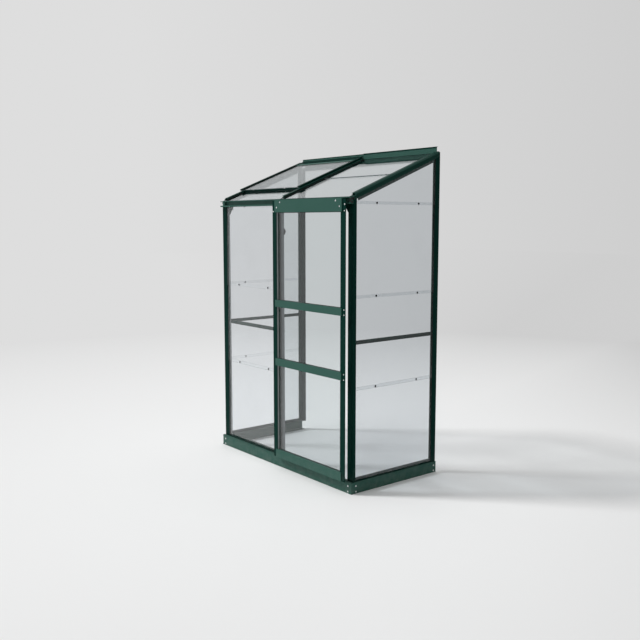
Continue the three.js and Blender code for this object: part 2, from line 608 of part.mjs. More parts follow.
// Sill bar under the foot of the vent, with a cleat past the centre bar and pegs for the stay
function ventSillBar() {
  const { setback, width, depth, wall, cleat, cleatDrop } = ventSill;
  const top = -bedDepth;
  const foot = top - depth;
  const back = setback + width;
  const upstandTop = ridge.hingeRise - vent.bottom - clearance;
  const outline = [
    [setback, foot], [setback + wall, foot], [setback + wall, top - wall], [back, top - wall],
    [back, upstandTop], [back - wall, upstandTop], [back - wall, top], [setback, top],
  ];
  const left = -(halfPosts - bar.core) + glass.edgeGap;
  const right = -centreBar.stemWidth / 2 - clearance;
  const beam = alongX(outline, left, right);
  const shelf = centreBar.shelfWidth / 2 + clearance;
  const underShelf = -bedDepth - bar.skin - clearance;
  const shelfRoom = block(-shelf, shelf, 0, back + overrun, underShelf, overrun);
  const gableShelf = halfPosts - bar.shelfReach - clearance;
  const gableRoom = block(left - overrun, -gableShelf, 0, back + overrun, underShelf, overrun);
  const front = block(left, cleat, setback, setback + wall, foot, top - cleatDrop);
  const toeRoom = centreBar.footWidth / 2 + clearance;
  const footRoom = block(-toeRoom, toeRoom, 0, back + overrun, -centreBar.depth - clearance, overrun);
  const sillSolid = cutBy(joined(beam, front), shelfRoom, gableRoom, footRoom);
  const pegTop = ridge.hingeRise - vent.bottom - clearance - stay.thickness - clearance;
  const pegs = peg.fromPivotShares.flatMap((share) => {
    const x = stayPivot + share * stay.length;
    const half = peg.plateWidth / 2;
    const plateTop = top - wall + peg.plate;
    const plate = block(x - half, x + half, back - wall / 2, back + peg.plateReach, top - wall, plateTop);
    const pin = turned([[0, top - wall], [peg.radius, top - wall], [peg.radius, pegTop], [0, pegTop]]);
    return [plate, pin.applyMatrix4(axes([1, 0, 0], [0, 0, 1], [0, -1, 0])).translate(x, stayLine, 0)];
  });
  add('vent_sill_bar', joined(sillSolid, ...pegs), barPaint, roofFrame);
}

// Vent: a framed pane on a bead that turns in the ridge socket. The pane lies on the foot rail, between
// the stiles. The vent's own frame has the hinge at 0.
function roofVent() {
  ventFrame.position.set(0, hingeSlope, ridge.hingeRise);
  const { rail, top, bottom, neck, gap, bead } = vent;
  const low = -bottom;
  const paneLow = ventGlass.lift;
  const paneHigh = paneLow + glass.thickness;
  const slotLow = paneLow - ventGlass.slack;
  const slotHigh = paneHigh + ventGlass.slack;
  const section = (inward) => [
    [0, low], [rail, low], [rail, slotLow], [rail - ventGlass.cover, slotLow],
    [rail - ventGlass.cover, slotHigh], [rail, slotHigh], [rail, top], [0, top],
  ].map(([w, n]) => [inward(w), n]);
  const inner = [ventLeft + rail + clearance, ventRight - rail - clearance];
  const topBody = alongX(section((w) => -gap - w), ...inner);
  const neckPlate = block(...inner, -gap - bead, 0, -neck / 2, neck / 2);
  const beadOutline = arcPoints([0, 0], bead, 0, 360).slice(1);
  const beadBar = alongX(beadOutline, ...inner);
  add('vent_top_rail', joined(topBody, neckPlate, beadBar), barPaint, ventFrame);
  const bottomBody = block(...inner, -ventLength, rail - ventLength, low, slotLow);
  const pivotY = stayLine - hingeSlope;
  const pinLow = low - clearance - stay.thickness - clearance;
  const { radius, head, headHeight } = stayPin;
  const pin = turned([
    [0, pinLow - headHeight], [head, pinLow - headHeight], [head, pinLow],
    [radius, pinLow], [radius, low + clearance], [0, low + clearance],
  ]).applyMatrix4(axes([1, 0, 0], [0, 0, 1], [0, -1, 0])).translate(stayPivot, pivotY, 0);
  add('vent_bottom_rail', joined(bottomBody, pin), barPaint, ventFrame);
  const stileSection = (outer, way) => section((w) => outer + way * w);
  add('vent_stile_left', alongY(stileSection(ventLeft, 1), -ventLength, -gap), barPaint, ventFrame);
  add('vent_stile_right', alongY(stileSection(ventRight, -1), -ventLength, -gap), barPaint, ventFrame);
  const tuck = rail - ventGlass.cover + clearance;
  const pane = block(ventLeft + tuck, ventRight - tuck, clearance - ventLength, -gap - tuck, paneLow, paneHigh);
  add('vent_pane', pane, clearGlass, ventFrame);
}

// Casement stay: a flat arm that lies along the vent's foot and swings inwards about its rivet
function ventStay() {
  const { length, width, thickness, hole } = stay;
  const half = width / 2;
  const outline = [...arcPoints([0, 0], half, 90, 270), ...arcPoints([length, 0], half, -90, 90)];
  const high = -vent.bottom - clearance;
  const arm = upright(outline, high - thickness, high);
  const reach = thickness + overrun;
  const drill = (x) => upright(arcPoints([x, 0], hole, 0, 360).slice(1), high - reach, high + overrun);
  const holes = Array.from({ length: stayHoles.count }, (_, i) =>
    drill(length - stayHoles.fromEnd - i * stayHoles.pitch));
  const mesh = add('vent_stay_arm', cutBy(arm, drill(0), ...holes), zincSteel, ventFrame);
  mesh.position.set(stayPivot, stayLine - hingeSlope, 0);
}

// Sliding door, hung in front of the frame
function slidingDoor() {
  const glassFront = doorFront + doorGlass.setback;
  const glassBack = glassFront + glass.thickness;
  const slot = [glassFront - clearance, glassBack + clearance];
  const pocketFloor = door.stile - doorGlass.pocket;
  const skin = doorRail.wall;
  for (const [name, outer, way] of [['door_stile_left', doorLeft, 1], ['door_stile_right', doorRight, -1]]) {
    const body = door.stile - door.body;
    const outline = [
      [0, stileFront], [door.stile, stileFront], [door.stile, slot[0]], [pocketFloor, slot[0]],
      [pocketFloor, slot[1]], [door.stile, slot[1]], [door.stile, doorBack], [body, doorBack],
      [body, stileFront + door.wing], [0, stileFront + door.wing],
    ].map(([a, y]) => [outer + way * a, y]);
    const hole = [
      outer + way * (body + skin), stileFront + skin,
      outer + way * (pocketFloor - skin), doorBack - skin,
    ];
    add(name, upright(outline, door.bottom, door.top - door.stileSet, [hole]));
  }
  const inner = [doorLeft + door.stile + clearance, doorRight - door.stile - clearance];
  const plateInset = door.stile - doorRail.overlap;
  const plateEnds = [doorLeft + plateInset, doorRight - plateInset];
  const backs = doorBack - doorRail.backSet;
  const recesses = (name, high) => {
    if (name !== 'door_top_rail') return [];
    const { radius, depth, places } = screwRecess;
    const profile = [[0, doorFront - depth], [radius, doorFront - depth], [radius, doorFront + depth],
      [0, doorFront + depth]];
    return places.flatMap(([inward, down]) => [plateEnds[0] + inward, plateEnds[1] - inward]
      .map((x) => turned(profile).translate(x, 0, high - down)));
  };
  const rail = (name, low, high, pockets) => {
    const plate = block(...plateEnds, doorFront, doorFront + doorRail.plate, low, high);
    const body = block(...inner, doorFront + doorRail.plate - skin, backs, low, high);
    const hollowLow = low + doorRail.pocket + skin;
    const hollowHigh = high - doorRail.pocket - skin;
    const ends = [inner[0] - overrun, inner[1] + overrun];
    const hollow = block(...ends, doorFront + doorRail.plate + skin, backs - skin, hollowLow, hollowHigh);
    const slots = pockets.map(([z0, z1]) => block(...ends, ...slot, z0, z1));
    return add(name, cutBy(joined(plate, body), hollow, ...slots, ...recesses(name, high)), railPaint);
  };
  const names = ['bottom', 'lower', 'upper', 'top'];
  for (const name of names) {
    const low = railFeet[name];
    const high = low + railHeights[name];
    const pockets = [];
    if (name !== 'bottom') pockets.push([low - overrun, low + doorRail.pocket]);
    if (name !== 'top') pockets.push([high - doorRail.pocket, high + overrun]);
    rail(`door_${name}_rail`, low, high, pockets);
  }
  const x0 = doorLeft + pocketFloor + glass.edgeGap;
  const x1 = doorRight - pocketFloor - glass.edgeGap;
  for (let i = 0; i + 1 < names.length; i += 1) {
    const low = railFeet[names[i]] + railHeights[names[i]] - doorRail.pocket + clearance;
    const high = railFeet[names[i + 1]] + doorRail.pocket - clearance;
    add(`door_pane_${names[i]}`, block(x0, x1, glassFront, glassBack, low, high), clearGlass);
  }
}

// Wheels that run in the eaves channel, their axles, and guides hooked over the fin on the base
function doorRunningGear() {
  const wheelZ = eavesFoot + eaves.wall + clearance + wheel.radius;
  const channelMiddle = (eavesFront + eaves.wall + eavesBack - eaves.wall) / 2;
  const [w0, w1] = [-wheel.width / 2, wheel.width / 2];
  const profile = [
    [wheel.bore, w0], [wheel.radius - wheel.bevel, w0], [wheel.radius, w0 + wheel.bevel],
    [wheel.radius, w1 - wheel.bevel], [wheel.radius - wheel.bevel, w1], [wheel.bore, w1],
  ];
  const back = doorBack - doorRail.backSet + clearance - channelMiddle;
  const headStart = w1 + clearance;
  const { radius, head, headWidth, flange, flangeWidth } = axle;
  const axleProfile = [
    [0, back], [flange, back], [flange, back + flangeWidth], [radius, back + flangeWidth],
    [radius, headStart], [head, headStart], [head, headStart + headWidth], [0, headStart + headWidth],
  ];
  const guideBack = -base.depth + rib.setback + rib.width + guide.running;
  const guideTop = door.bottom + guide.thickness;
  for (const [side, x, gx] of [
    ['left', doorLeft + wheel.fromEnd, doorLeft + guide.fromEnd],
    ['right', doorRight - wheel.fromEnd, doorRight - guide.fromEnd],
  ]) {
    add(`door_wheel_${side}`, turned(profile), blackPlastic).position.set(x, channelMiddle, wheelZ);
    add(`door_axle_${side}`, turned(axleProfile), zincSteel).position.set(x, channelMiddle, wheelZ);
    const x0 = gx - guide.width / 2;
    const x1 = gx + guide.width / 2;
    const y0 = doorBack - doorRail.backSet + clearance;
    const arm = block(x0, x1, y0, guideBack + guide.leg, door.bottom, guideTop);
    const leg = block(x0, x1, guideBack, guideBack + guide.leg, postFoot + clearance, guideTop);
    add(`door_guide_${side}`, joined(arm, leg), blackPlastic);
  }
}

baseRails();
sills();
cornerPosts();
middlePostBar();
wallPosts();
eavesBeam();
bracesAndGussets();
sidePanes('left_pane', -1);
sidePanes('right_pane', 1);
frontPanes();
gableBar('gable_bar_left', -1);
gableBar('gable_bar_right', 1);
centreRoofBar();
ridgeBar();
roofPanes();
ventSillBar();
roofVent();
ventStay();
slidingDoor();
doorRunningGear();

export default greenhouse;
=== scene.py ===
import math

import bmesh
import bpy
from mathutils import Matrix, Vector


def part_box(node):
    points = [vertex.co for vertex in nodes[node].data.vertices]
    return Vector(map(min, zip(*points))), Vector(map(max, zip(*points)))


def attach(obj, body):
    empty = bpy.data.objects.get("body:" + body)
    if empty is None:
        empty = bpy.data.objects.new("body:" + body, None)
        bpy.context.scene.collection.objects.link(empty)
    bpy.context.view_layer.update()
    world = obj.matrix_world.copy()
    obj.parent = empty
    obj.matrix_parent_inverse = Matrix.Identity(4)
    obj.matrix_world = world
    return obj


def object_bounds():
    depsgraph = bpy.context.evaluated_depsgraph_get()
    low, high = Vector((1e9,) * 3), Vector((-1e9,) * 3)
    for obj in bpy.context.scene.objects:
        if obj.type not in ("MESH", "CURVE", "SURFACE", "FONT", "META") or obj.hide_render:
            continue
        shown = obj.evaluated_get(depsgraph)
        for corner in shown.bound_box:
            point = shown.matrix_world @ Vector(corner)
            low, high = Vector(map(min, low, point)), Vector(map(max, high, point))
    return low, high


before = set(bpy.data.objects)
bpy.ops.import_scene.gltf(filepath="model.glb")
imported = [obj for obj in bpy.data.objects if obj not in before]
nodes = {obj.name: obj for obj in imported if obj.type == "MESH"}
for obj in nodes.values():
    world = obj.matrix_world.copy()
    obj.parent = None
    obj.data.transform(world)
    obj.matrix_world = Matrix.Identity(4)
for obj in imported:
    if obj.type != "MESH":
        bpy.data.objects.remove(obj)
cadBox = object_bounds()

# Lean-to greenhouse, dressed for a soft studio picture. Metres, the wall is the plane at the back.
mm = 0.001
wallY = cadBox[1].y  # back of the greenhouse, where it stands against the wall
roofSlope = math.radians(21.45)
roofNormal = Vector((0.0, -math.sin(roofSlope), math.cos(roofSlope)))
roofUphill = Vector((0.0, math.cos(roofSlope), math.sin(roofSlope)))

print("greenhouse: frame loaded,", len(nodes), "solids")

# Studio: plain pale floor that fades into an even grey, one wide soft lamp from the upper left.
# Noises are given as scale, detail, roughness and, mostly, the two values that are stretched to 0 and 1

studio = {
    "grey": 0.73,  # brightness of the surroundings
    "shadeWay": 35.0,  # heading of the darker side, degrees from X towards Y
    "shadeSide": 0.42,  # share of the brightness left there, which the right-hand panes mirror
    "rightHand": 0.85,  # and behind the right-hand end, where it falls off gently
    "gentleFall": (-0.48, 0.10),  # cosines to that heading between which it falls to 'rightHand'
    "deepFall": (0.35, 0.95),  # and on to 'shadeSide'
    "floorColour": (0.88, 0.885, 0.885),
    "floorSheen": 0.2,
    "floorMottle": (60.0, 3.0, 0.5, 0.3, 0.7),
    "floorRoughness": (0.5, 0.62),
    "floorSize": 60.0,  # metres
    "fade": (1.2, 6.0),  # the floor turns into the surroundings between these distances
    "lampStrength": 1.9,
    "lampAngle": 9.0,  # degrees across, seen from the floor
    "lampTravel": (0.50, 0.52, -0.72),  # direction that its light goes in
}

camera = {
    "place": (3.8148, -3.0585, 1.4536),
    "heading": 0.896,  # turn about the upright axis, radians
    "tilt": 0.121,  # down from level, radians
    "lens": 45.55,  # focal length for a sensor of this width, millimetres
    "sensor": 36.0,
    "clip": (0.05, 200.0),
    "facesDeep": 48,  # faces of glass that a line of sight may pass
}


def node(tree, kind, **settings):
    made = tree.nodes.new(kind)
    for key, value in settings.items():
        setattr(made, key, value)
    return made


# Sets a socket to a value, or links it to the output of another node
def feed(tree, socket, value):
    if isinstance(value, bpy.types.NodeSocket):
        tree.links.new(value, socket)
    elif socket.type == "RGBA":
        socket.default_value = (*value, 1.0)
    else:
        socket.default_value = value


def feedAll(tree, sockets, values):
    for socket, value in zip(sockets, values):
        feed(tree, socket, value)


def maths(tree, operation, *values, clamp=False):
    made = node(tree, "ShaderNodeMath", operation=operation, use_clamp=clamp)
    feedAll(tree, made.inputs, values)
    return made.outputs[0]


def vectorMaths(tree, operation, *values):
    made = node(tree, "ShaderNodeVectorMath", operation=operation)
    feedAll(tree, made.inputs, values)
    return made.outputs["Value" if operation in ("DOT_PRODUCT", "LENGTH") else "Vector"]


def between(tree, value, fromLow, fromHigh, toLow=0.0, toHigh=1.0):
    made = node(tree, "ShaderNodeMapRange")
    sockets = [made.inputs[name] for name in ("Value", "From Min", "From Max", "To Min", "To Max")]
    feedAll(tree, sockets, (value, fromLow, fromHigh, toLow, toHigh))
    return made.outputs["Result"]


def mixColours(tree, share, first, second):
    made = node(tree, "ShaderNodeMix", data_type="RGBA")
    feedAll(tree, [made.inputs[i] for i in (0, 6, 7)], (share, first, second))  # 6 and 7 are its colours
    return made.outputs[2]


def mixShaders(tree, share, first, second):
    made = node(tree, "ShaderNodeMixShader")
    feedAll(tree, made.inputs, (share, first, second))
    return made.outputs[0]


def noise(tree, where, scale, detail=2.0, roughness=0.5):
    made = node(tree, "ShaderNodeTexNoise")
    sockets = [made.inputs[name] for name in ("Vector", "Scale", "Detail", "Roughness")]
    feedAll(tree, sockets, (where, scale, detail, roughness))
    return made.outputs["Fac"]


# A noise stretched to run from 0 to 1, or over another span
def spots(tree, where, pattern, *span):
    scale, detail, roughness, low, high = pattern
    return between(tree, noise(tree, where, scale, detail, roughness), low, high, *span)


def bump(tree, height, strength, depth, normal=None):
    made = node(tree, "ShaderNodeBump")
    sockets = [made.inputs[name] for name in ("Strength", "Distance", "Height")]
    feedAll(tree, sockets, (strength, depth, height))
    if normal is not None:
        feed(tree, made.inputs["Normal"], normal)
    return made.outputs[0]


def heightOf(tree, place):
    made = node(tree, "ShaderNodeSeparateXYZ")
    feed(tree, made.inputs[0], place)
    return made.outputs["Z"]


# One shader, with its sockets fed by name
def shader(tree, kind, values):
    made = node(tree, kind)
    for name, value in values.items():
        feed(tree, made.inputs[name], value)
    return made.outputs[0]


def newMaterial(name):
    made = bpy.data.materials.new(name)
    made.use_nodes = True
    made.node_tree.nodes.clear()
    return made, made.node_tree


def giveSurface(tree, surface, kind="ShaderNodeOutputMaterial"):
    feed(tree, node(tree, kind).inputs["Surface"], surface)


# Brightness of the surroundings by direction
def surroundings(tree, direction):
    level = vectorMaths(tree, "NORMALIZE", vectorMaths(tree, "MULTIPLY", direction, (1.0, 1.0, 0.0)))
    shadeWay = math.radians(studio["shadeWay"])
    cosine = vectorMaths(tree, "DOT_PRODUCT", level, (math.cos(shadeWay), math.sin(shadeWay), 0.0))
    gentle = between(tree, cosine, *studio["gentleFall"], 1.0, studio["rightHand"])
    deep = between(tree, cosine, *studio["deepFall"], 1.0, studio["shadeSide"] / studio["rightHand"])
    return maths(tree, "MULTIPLY", maths(tree, "MULTIPLY", gentle, deep), studio["grey"])


def makeSurroundings():
    world = bpy.data.worlds.new("studioLight")
    bpy.context.scene.world = world
    world.use_nodes = True
    tree = world.node_tree
    tree.nodes.clear()
    direction = node(tree, "ShaderNodeTexCoord").outputs["Generated"]
    background = shader(tree, "ShaderNodeBackground", {"Color": surroundings(tree, direction)})
    giveSurface(tree, background, "ShaderNodeOutputWorld")


def makeLamp():
    data = bpy.data.lights.new("softLamp", "SUN")
    data.energy = studio["lampStrength"]
    data.angle = math.radians(studio["lampAngle"])
    lamp = bpy.data.objects.new("softLamp", data)
    lamp.rotation_mode = "QUATERNION"
    lamp.rotation_quaternion = Vector(studio["lampTravel"]).to_track_quat("-Z", "Y")
    bpy.context.scene.collection.objects.link(lamp)


def makeFloor():
    material, tree = newMaterial("studioFloor")
    place = node(tree, "ShaderNodeNewGeometry").outputs["Position"]
    paint = shader(tree, "ShaderNodeBsdfPrincipled", {
        "Base Color": studio["floorColour"],
        "Roughness": spots(tree, place, studio["floorMottle"], *studio["floorRoughness"]),
        "Specular IOR Level": studio["floorSheen"],
    })
    glow = shader(tree, "ShaderNodeEmission", {"Color": surroundings(tree, place)})
    fade = between(tree, vectorMaths(tree, "LENGTH", place), *studio["fade"])
    giveSurface(tree, mixShaders(tree, fade, paint, glow))
    half = studio["floorSize"] / 2
    corners = [(-half, -half, 0), (half, -half, 0), (half, half, 0), (-half, half, 0)]
    mesh = bpy.data.meshes.new("studioFloor")
    mesh.from_pydata(corners, [], [(0, 1, 2, 3)])
    mesh.materials.append(material)
    floor = bpy.data.objects.new("studioFloor", mesh)
    bpy.context.scene.collection.objects.link(floor)


def makeCamera():
    data = bpy.data.cameras.new("pictureCamera")
    data.sensor_width = camera["sensor"]
    data.lens = camera["lens"]
    data.clip_start, data.clip_end = camera["clip"]
    made = bpy.data.objects.new("pictureCamera", data)
    made.location = camera["place"]
    made.rotation_euler = (math.pi / 2 - camera["tilt"], 0.0, camera["heading"])
    bpy.context.scene.collection.objects.link(made)
    bpy.context.scene.camera = made


makeSurroundings()
makeLamp()
makeFloor()
makeCamera()
scene = bpy.context.scene
scene.view_settings.view_transform = "Standard"
scene.cycles.transparent_max_bounces = camera["facesDeep"]
print("greenhouse: floor, lamp and camera made")

# Powder coat on aluminium

railGreen = {
    "colour": (0.026, 0.087, 0.068),
    "light": (0.044, 0.112, 0.091),
    "roughness": (0.36, 0.52),
    "sheen": 0.12,
    "peel": 0.10,  # strength of the fine orange-peel texture
    "edge": 0.45,  # how much paler a rubbed edge gets
    "dust": 0.20,
}

barGreen = {
    "colour": (0.0016, 0.0235, 0.0175),
    "light": (0.006, 0.038, 0.030),
    "roughness": (0.38, 0.54),
    "sheen": 0.024,
    "peel": 0.10,
    "edge": 0.45,
    "dust": 0.16,
}

# Lit copy of the bar coat, painted light: the roof bars face the light more than the posts do, so they are
# given a lighter colour
litRoofBarGreen = {
    **barGreen,
    "colour": (0.006, 0.036, 0.027),
    "light": (0.014, 0.054, 0.042),
    "sheen": 0.06,
}

coatTexture = {
    "cloud": (3.2, 4.0, 0.6, 0.3, 0.7),
    "cloudShare": 0.35,
    "grain": (420.0, 2.0, 0.7, 0.35, 0.65),
    "grainShare": 0.30,
    "grainDark": 0.82,
    "edgeRadius": 0.9 * mm,
    "edgeBend": (0.995, 0.90),  # cosines between which a rounded edge begins to look rubbed
    "rubbed": (38.0, 5.0, 0.7, 0.42, 0.62),
    "dust": (26.0, 6.0, 0.65, 0.40, 0.75),
    "dustTop": 0.16,  # the dust thins out up to this height
    "dustColour": (0.30, 0.31, 0.28),
    "dustRoughness": 0.6,
    "gloss": (16.0, 4.0, 0.6, 0.3, 0.7),
    "peel": (700.0, 2.0, 0.5),
    "peelDepth": 0.15 * mm,
}


# Soft mottling, orange peel, paler rubbed edges and a little dust near the ground
def powderCoat(name, look):
    material, tree = newMaterial(name)
    texture = coatTexture
    place = node(tree, "ShaderNodeTexCoord").outputs["Object"]
    cloud = maths(tree, "MULTIPLY", spots(tree, place, texture["cloud"]), texture["cloudShare"])
    grain = maths(tree, "MULTIPLY", spots(tree, place, texture["grain"]), texture["grainShare"])
    darker = tuple(texture["grainDark"] * value for value in look["colour"])
    tone = mixColours(tree, cloud, look["colour"], look["light"])
    tone = mixColours(tree, grain, tone, darker)

    rounded = node(tree, "ShaderNodeBevel", samples=4)
    rounded.inputs["Radius"].default_value = texture["edgeRadius"]
    flat = node(tree, "ShaderNodeNewGeometry").outputs["True Normal"]
    bend = vectorMaths(tree, "DOT_PRODUCT", rounded.outputs[0], flat)
    worn = between(tree, bend, *texture["edgeBend"])
    rubbed = maths(tree, "MULTIPLY", worn, spots(tree, place, texture["rubbed"]))
    tone = mixColours(tree, maths(tree, "MULTIPLY", rubbed, look["edge"]), tone, look["light"])

    low = between(tree, heightOf(tree, place), texture["dustTop"], 0.0)
    settled = maths(tree, "MULTIPLY", low, spots(tree, place, texture["dust"]))
    dusty = maths(tree, "MULTIPLY", settled, look["dust"])
    dull = maths(tree, "MULTIPLY", dusty, texture["dustRoughness"])
    gloss = spots(tree, place, texture["gloss"], *look["roughness"])
    peel = noise(tree, place, *texture["peel"])
    giveSurface(tree, shader(tree, "ShaderNodeBsdfPrincipled", {
        "Base Color": mixColours(tree, dusty, tone, texture["dustColour"]),
        "Roughness": maths(tree, "ADD", gloss, dull, clamp=True),
        "Specular IOR Level": look["sheen"],
        "Normal": bump(tree, peel, look["peel"], texture["peelDepth"], rounded.outputs[0]),
    }))
    return material


# Glass: the tint is the light let through at each face, the mirror the colour of its reflections; the door's,
# the right-hand and the roof's copies also carry painted shade

paneGlass = {
    "face": 0.075,  # mirror share of a face seen square on
    "grazing": 5.0,  # power by which it grows towards a glancing look
    "smudge": (5.0, 5.0, 0.65, 0.50, 0.75),
    "smudgeFilm": 0.988,
    "roughness": (0.012, 0.05),  # clean and smudged
    "ripple": 0.02,
    "rippleNoise": (4.0, 1.0),
    "rippleDepth": 2.0 * mm,
    "cutEdge": (0.050, 0.075, 0.075),
    "groundEdge": (0.10, 0.13, 0.13),  # specks of the ground finish along the cut
    "grind": (260.0, 3.0),
    "edgeRoughness": 0.22,
    "edgeLight": 0.25,  # share of the light that a cut edge lets through
    "edgeTint": (0.36, 0.44, 0.43),
    "edgeCosine": 0.6,  # a face turned further than this from the pane's own is a cut edge
    "firstLap": 560.4 * mm,  # foot of the second course of panes
    "lapPitch": 492.0 * mm,
    "lapHeight": 16.0 * mm,
    "lapShare": 0.72,  # two panes lie over each other there, so each face tints less
}

frontLook = {**paneGlass, "tint": (0.966, 0.975, 0.982), "mirror": (0.97, 0.98, 0.98)}
# The door's copy is tinted darker and mirrors less: painted shade, for the shade on the wall behind it
shadedDoorLook = {
    **paneGlass,
    "tint": (0.862, 0.889, 0.896),
    "mirror": (0.97, 0.98, 0.98),
    "face": 0.055,
    "lapShare": 1.0,  # the door's panes don't lap
}
# The right-hand copy is tinted darker and mirrors less: painted shade, for the shade on the wall behind it
shadedRightLook = {**paneGlass, "tint": (0.864, 0.882, 0.896), "mirror": (0.97, 0.98, 0.98), "face": 0.066}
leftLook = {**paneGlass, "tint": (0.952, 0.960, 0.968), "mirror": (0.98, 0.98, 0.98)}
# The roof's mirror is dimmed: painted shade on its reflections
dimmedRoofLook = {**paneGlass, "tint": (0.890, 0.905, 0.910), "mirror": (0.84, 0.87, 0.88)}


# Thin clear glass. 'across' is the direction through the pane, so that cut edges can be told from faces
def thinGlass(name, look, across):
    material, tree = newMaterial(name)
    coordinates = node(tree, "ShaderNodeTexCoord")
    place = coordinates.outputs["Object"]
    facing = node(tree, "ShaderNodeLayerWeight")
    facing.inputs["Blend"].default_value = 0.5
    grazing = maths(tree, "POWER", facing.outputs["Facing"], look["grazing"])
    mirror = maths(tree, "MULTIPLY_ADD", grazing, 1.0 - look["face"], look["face"])
    smudge = spots(tree, place, look["smudge"])
    ripple = noise(tree, place, *look["rippleNoise"])

    first = look["firstLap"]
    inCourse = maths(tree, "WRAP", heightOf(tree, place), first + look["lapPitch"], first)
    inLap = maths(tree, "LESS_THAN", inCourse, first + look["lapHeight"])
    lapTint = tuple(value ** look["lapShare"] for value in look["tint"])
    film = tuple(look["smudgeFilm"] * value for value in look["tint"])
    tint = mixColours(tree, smudge, look["tint"], film)
    through = shader(tree, "ShaderNodeBsdfTransparent", {"Color": mixColours(tree, inLap, tint, lapTint)})
    shine = shader(tree, "ShaderNodeBsdfGlossy", {
        "Color": look["mirror"],
        "Roughness": between(tree, smudge, 0.0, 1.0, *look["roughness"]),
        "Normal": bump(tree, ripple, look["ripple"], look["rippleDepth"]),
    })
    face = mixShaders(tree, mirror, through, shine)

    square = vectorMaths(tree, "DOT_PRODUCT", coordinates.outputs["Normal"], across)
    cut = maths(tree, "LESS_THAN", maths(tree, "ABSOLUTE", square), look["edgeCosine"])
    grind = noise(tree, place, *look["grind"])
    edge = shader(tree, "ShaderNodeBsdfPrincipled", {
        "Base Color": mixColours(tree, grind, look["cutEdge"], look["groundEdge"]),
        "Roughness": look["edgeRoughness"],
    })
    clear = shader(tree, "ShaderNodeBsdfTransparent", {"Color": look["edgeTint"]})
    cutFace = mixShaders(tree, look["edgeLight"], edge, clear)
    giveSurface(tree, mixShaders(tree, cut, face, cutFace))
    return material


# Bright metal: zinc plate on screws and nuts, or a brushed arm with its scratches along X

metals = {  # colour, roughness, and how the scratches are drawn out along each axis
    "zincPlate": ((0.80, 0.82, 0.82), 0.38, (1.0, 1.0, 1.0)),
    "brushedSteel": ((0.56, 0.57, 0.57), 0.30, (0.04, 1.0, 1.0)),
}

metalTexture = {
    "metallic": 0.9,
    "lines": (900.0, 3.0, 0.6),
    "lineStrength": 0.12,
    "lineDepth": 0.1 * mm,
    "lineRange": (0.3, 0.7),  # values of that noise between which the roughness goes over its span
    "roughnessSpan": (-0.08, 0.12),  # below and above that of the metal
    "stain": (90.0, 4.0, 0.6, 0.35, 0.7),
    "stainShare": 0.45,
    "stainDark": 0.62,
}


def brightMetal(name, colour, roughness, scratches):
    material, tree = newMaterial(name)
    texture = metalTexture
    place = node(tree, "ShaderNodeTexCoord").outputs["Object"]
    lines = noise(tree, vectorMaths(tree, "MULTIPLY", place, scratches), *texture["lines"])
    stain = maths(tree, "MULTIPLY", spots(tree, place, texture["stain"]), texture["stainShare"])
    dull = tuple(texture["stainDark"] * value for value in colour)
    span = [roughness + change for change in texture["roughnessSpan"]]
    giveSurface(tree, shader(tree, "ShaderNodeBsdfPrincipled", {
        "Base Color": mixColours(tree, stain, colour, dull),
        "Metallic": texture["metallic"],
        "Roughness": between(tree, lines, *texture["lineRange"], *span),
        "Normal": bump(tree, lines, texture["lineStrength"], texture["lineDepth"]),
    }))
    return material


# Moulded nylon or rubber: fine pores, slightly paler where it is handled

mouldings = {  # colour, roughness and scale of the pores
    "blackNylon": ((0.012, 0.013, 0.013), 0.42, 520.0),
    "sealRubber": ((0.016, 0.017, 0.017), 0.62, 800.0),
    "paleSeal": ((0.205, 0.215, 0.218), 0.60, 800.0),
    "greyBrush": ((0.110, 0.118, 0.122), 0.66, 900.0),
}

mouldTexture = {
    "sheen": 0.35,
    "bloom": (22.0, 5.0, 0.65, 0.40, 0.72),
    "bloomShare": 0.5,
    "bloomColour": (1.5, 0.012),  # the moulding's own colour times the first, plus the second
    "bloomRoughness": 0.16,
    "pores": (2.0, 0.6),
    "poreStrength": 0.25,
    "poreDepth": 0.1 * mm,
}


def moulding(name, colour, roughness, poreScale):
    material, tree = newMaterial(name)
    texture = mouldTexture
    place = node(tree, "ShaderNodeTexCoord").outputs["Object"]
    bloom = spots(tree, place, texture["bloom"])
    times, plus = texture["bloomColour"]
    pale = tuple(value * times + plus for value in colour)
    pores = noise(tree, place, poreScale, *texture["pores"])
    giveSurface(tree, shader(tree, "ShaderNodeBsdfPrincipled", {
        "Base Color": mixColours(tree, maths(tree, "MULTIPLY", bloom, texture["bloomShare"]), colour, pale),
        "Roughness": between(tree, bloom, 0.0, 1.0, roughness, roughness + texture["bloomRoughness"]),
        "Specular IOR Level": texture["sheen"],
        "Normal": bump(tree, pores, texture["poreStrength"], texture["poreDepth"]),
    }))
    return material


railCoat = powderCoat("railGreenCoat", railGreen)
barCoat = powderCoat("barGreenCoat", barGreen)
litRoofBarCoat = powderCoat("litRoofBarCoat", litRoofBarGreen)
shadedRightGlass = thinGlass("rightWallGlassPaintedShade", shadedRightLook, (1.0, 0.0, 0.0))
leftGlass = thinGlass("leftWallGlass", leftLook, (1.0, 0.0, 0.0))
frontGlass = thinGlass("frontWallGlass", frontLook, (0.0, 1.0, 0.0))
shadedDoorGlass = thinGlass("slidingDoorGlassPaintedShade", shadedDoorLook, (0.0, 1.0, 0.0))
shadedRoofGlass = thinGlass("shadedRoofGlass", dimmedRoofLook, roofNormal)
zincPlate, brushedSteel = (brightMetal(name, *look) for name, look in metals.items())
blackNylon, sealRubber, paleSeal, greyBrush = (moulding(name, *look) for name, look in mouldings.items())
print("greenhouse: finishes mixed")

finishOfWall = {"door": shadedDoorGlass, "right": shadedRightGlass, "left": leftGlass, "front": frontGlass}

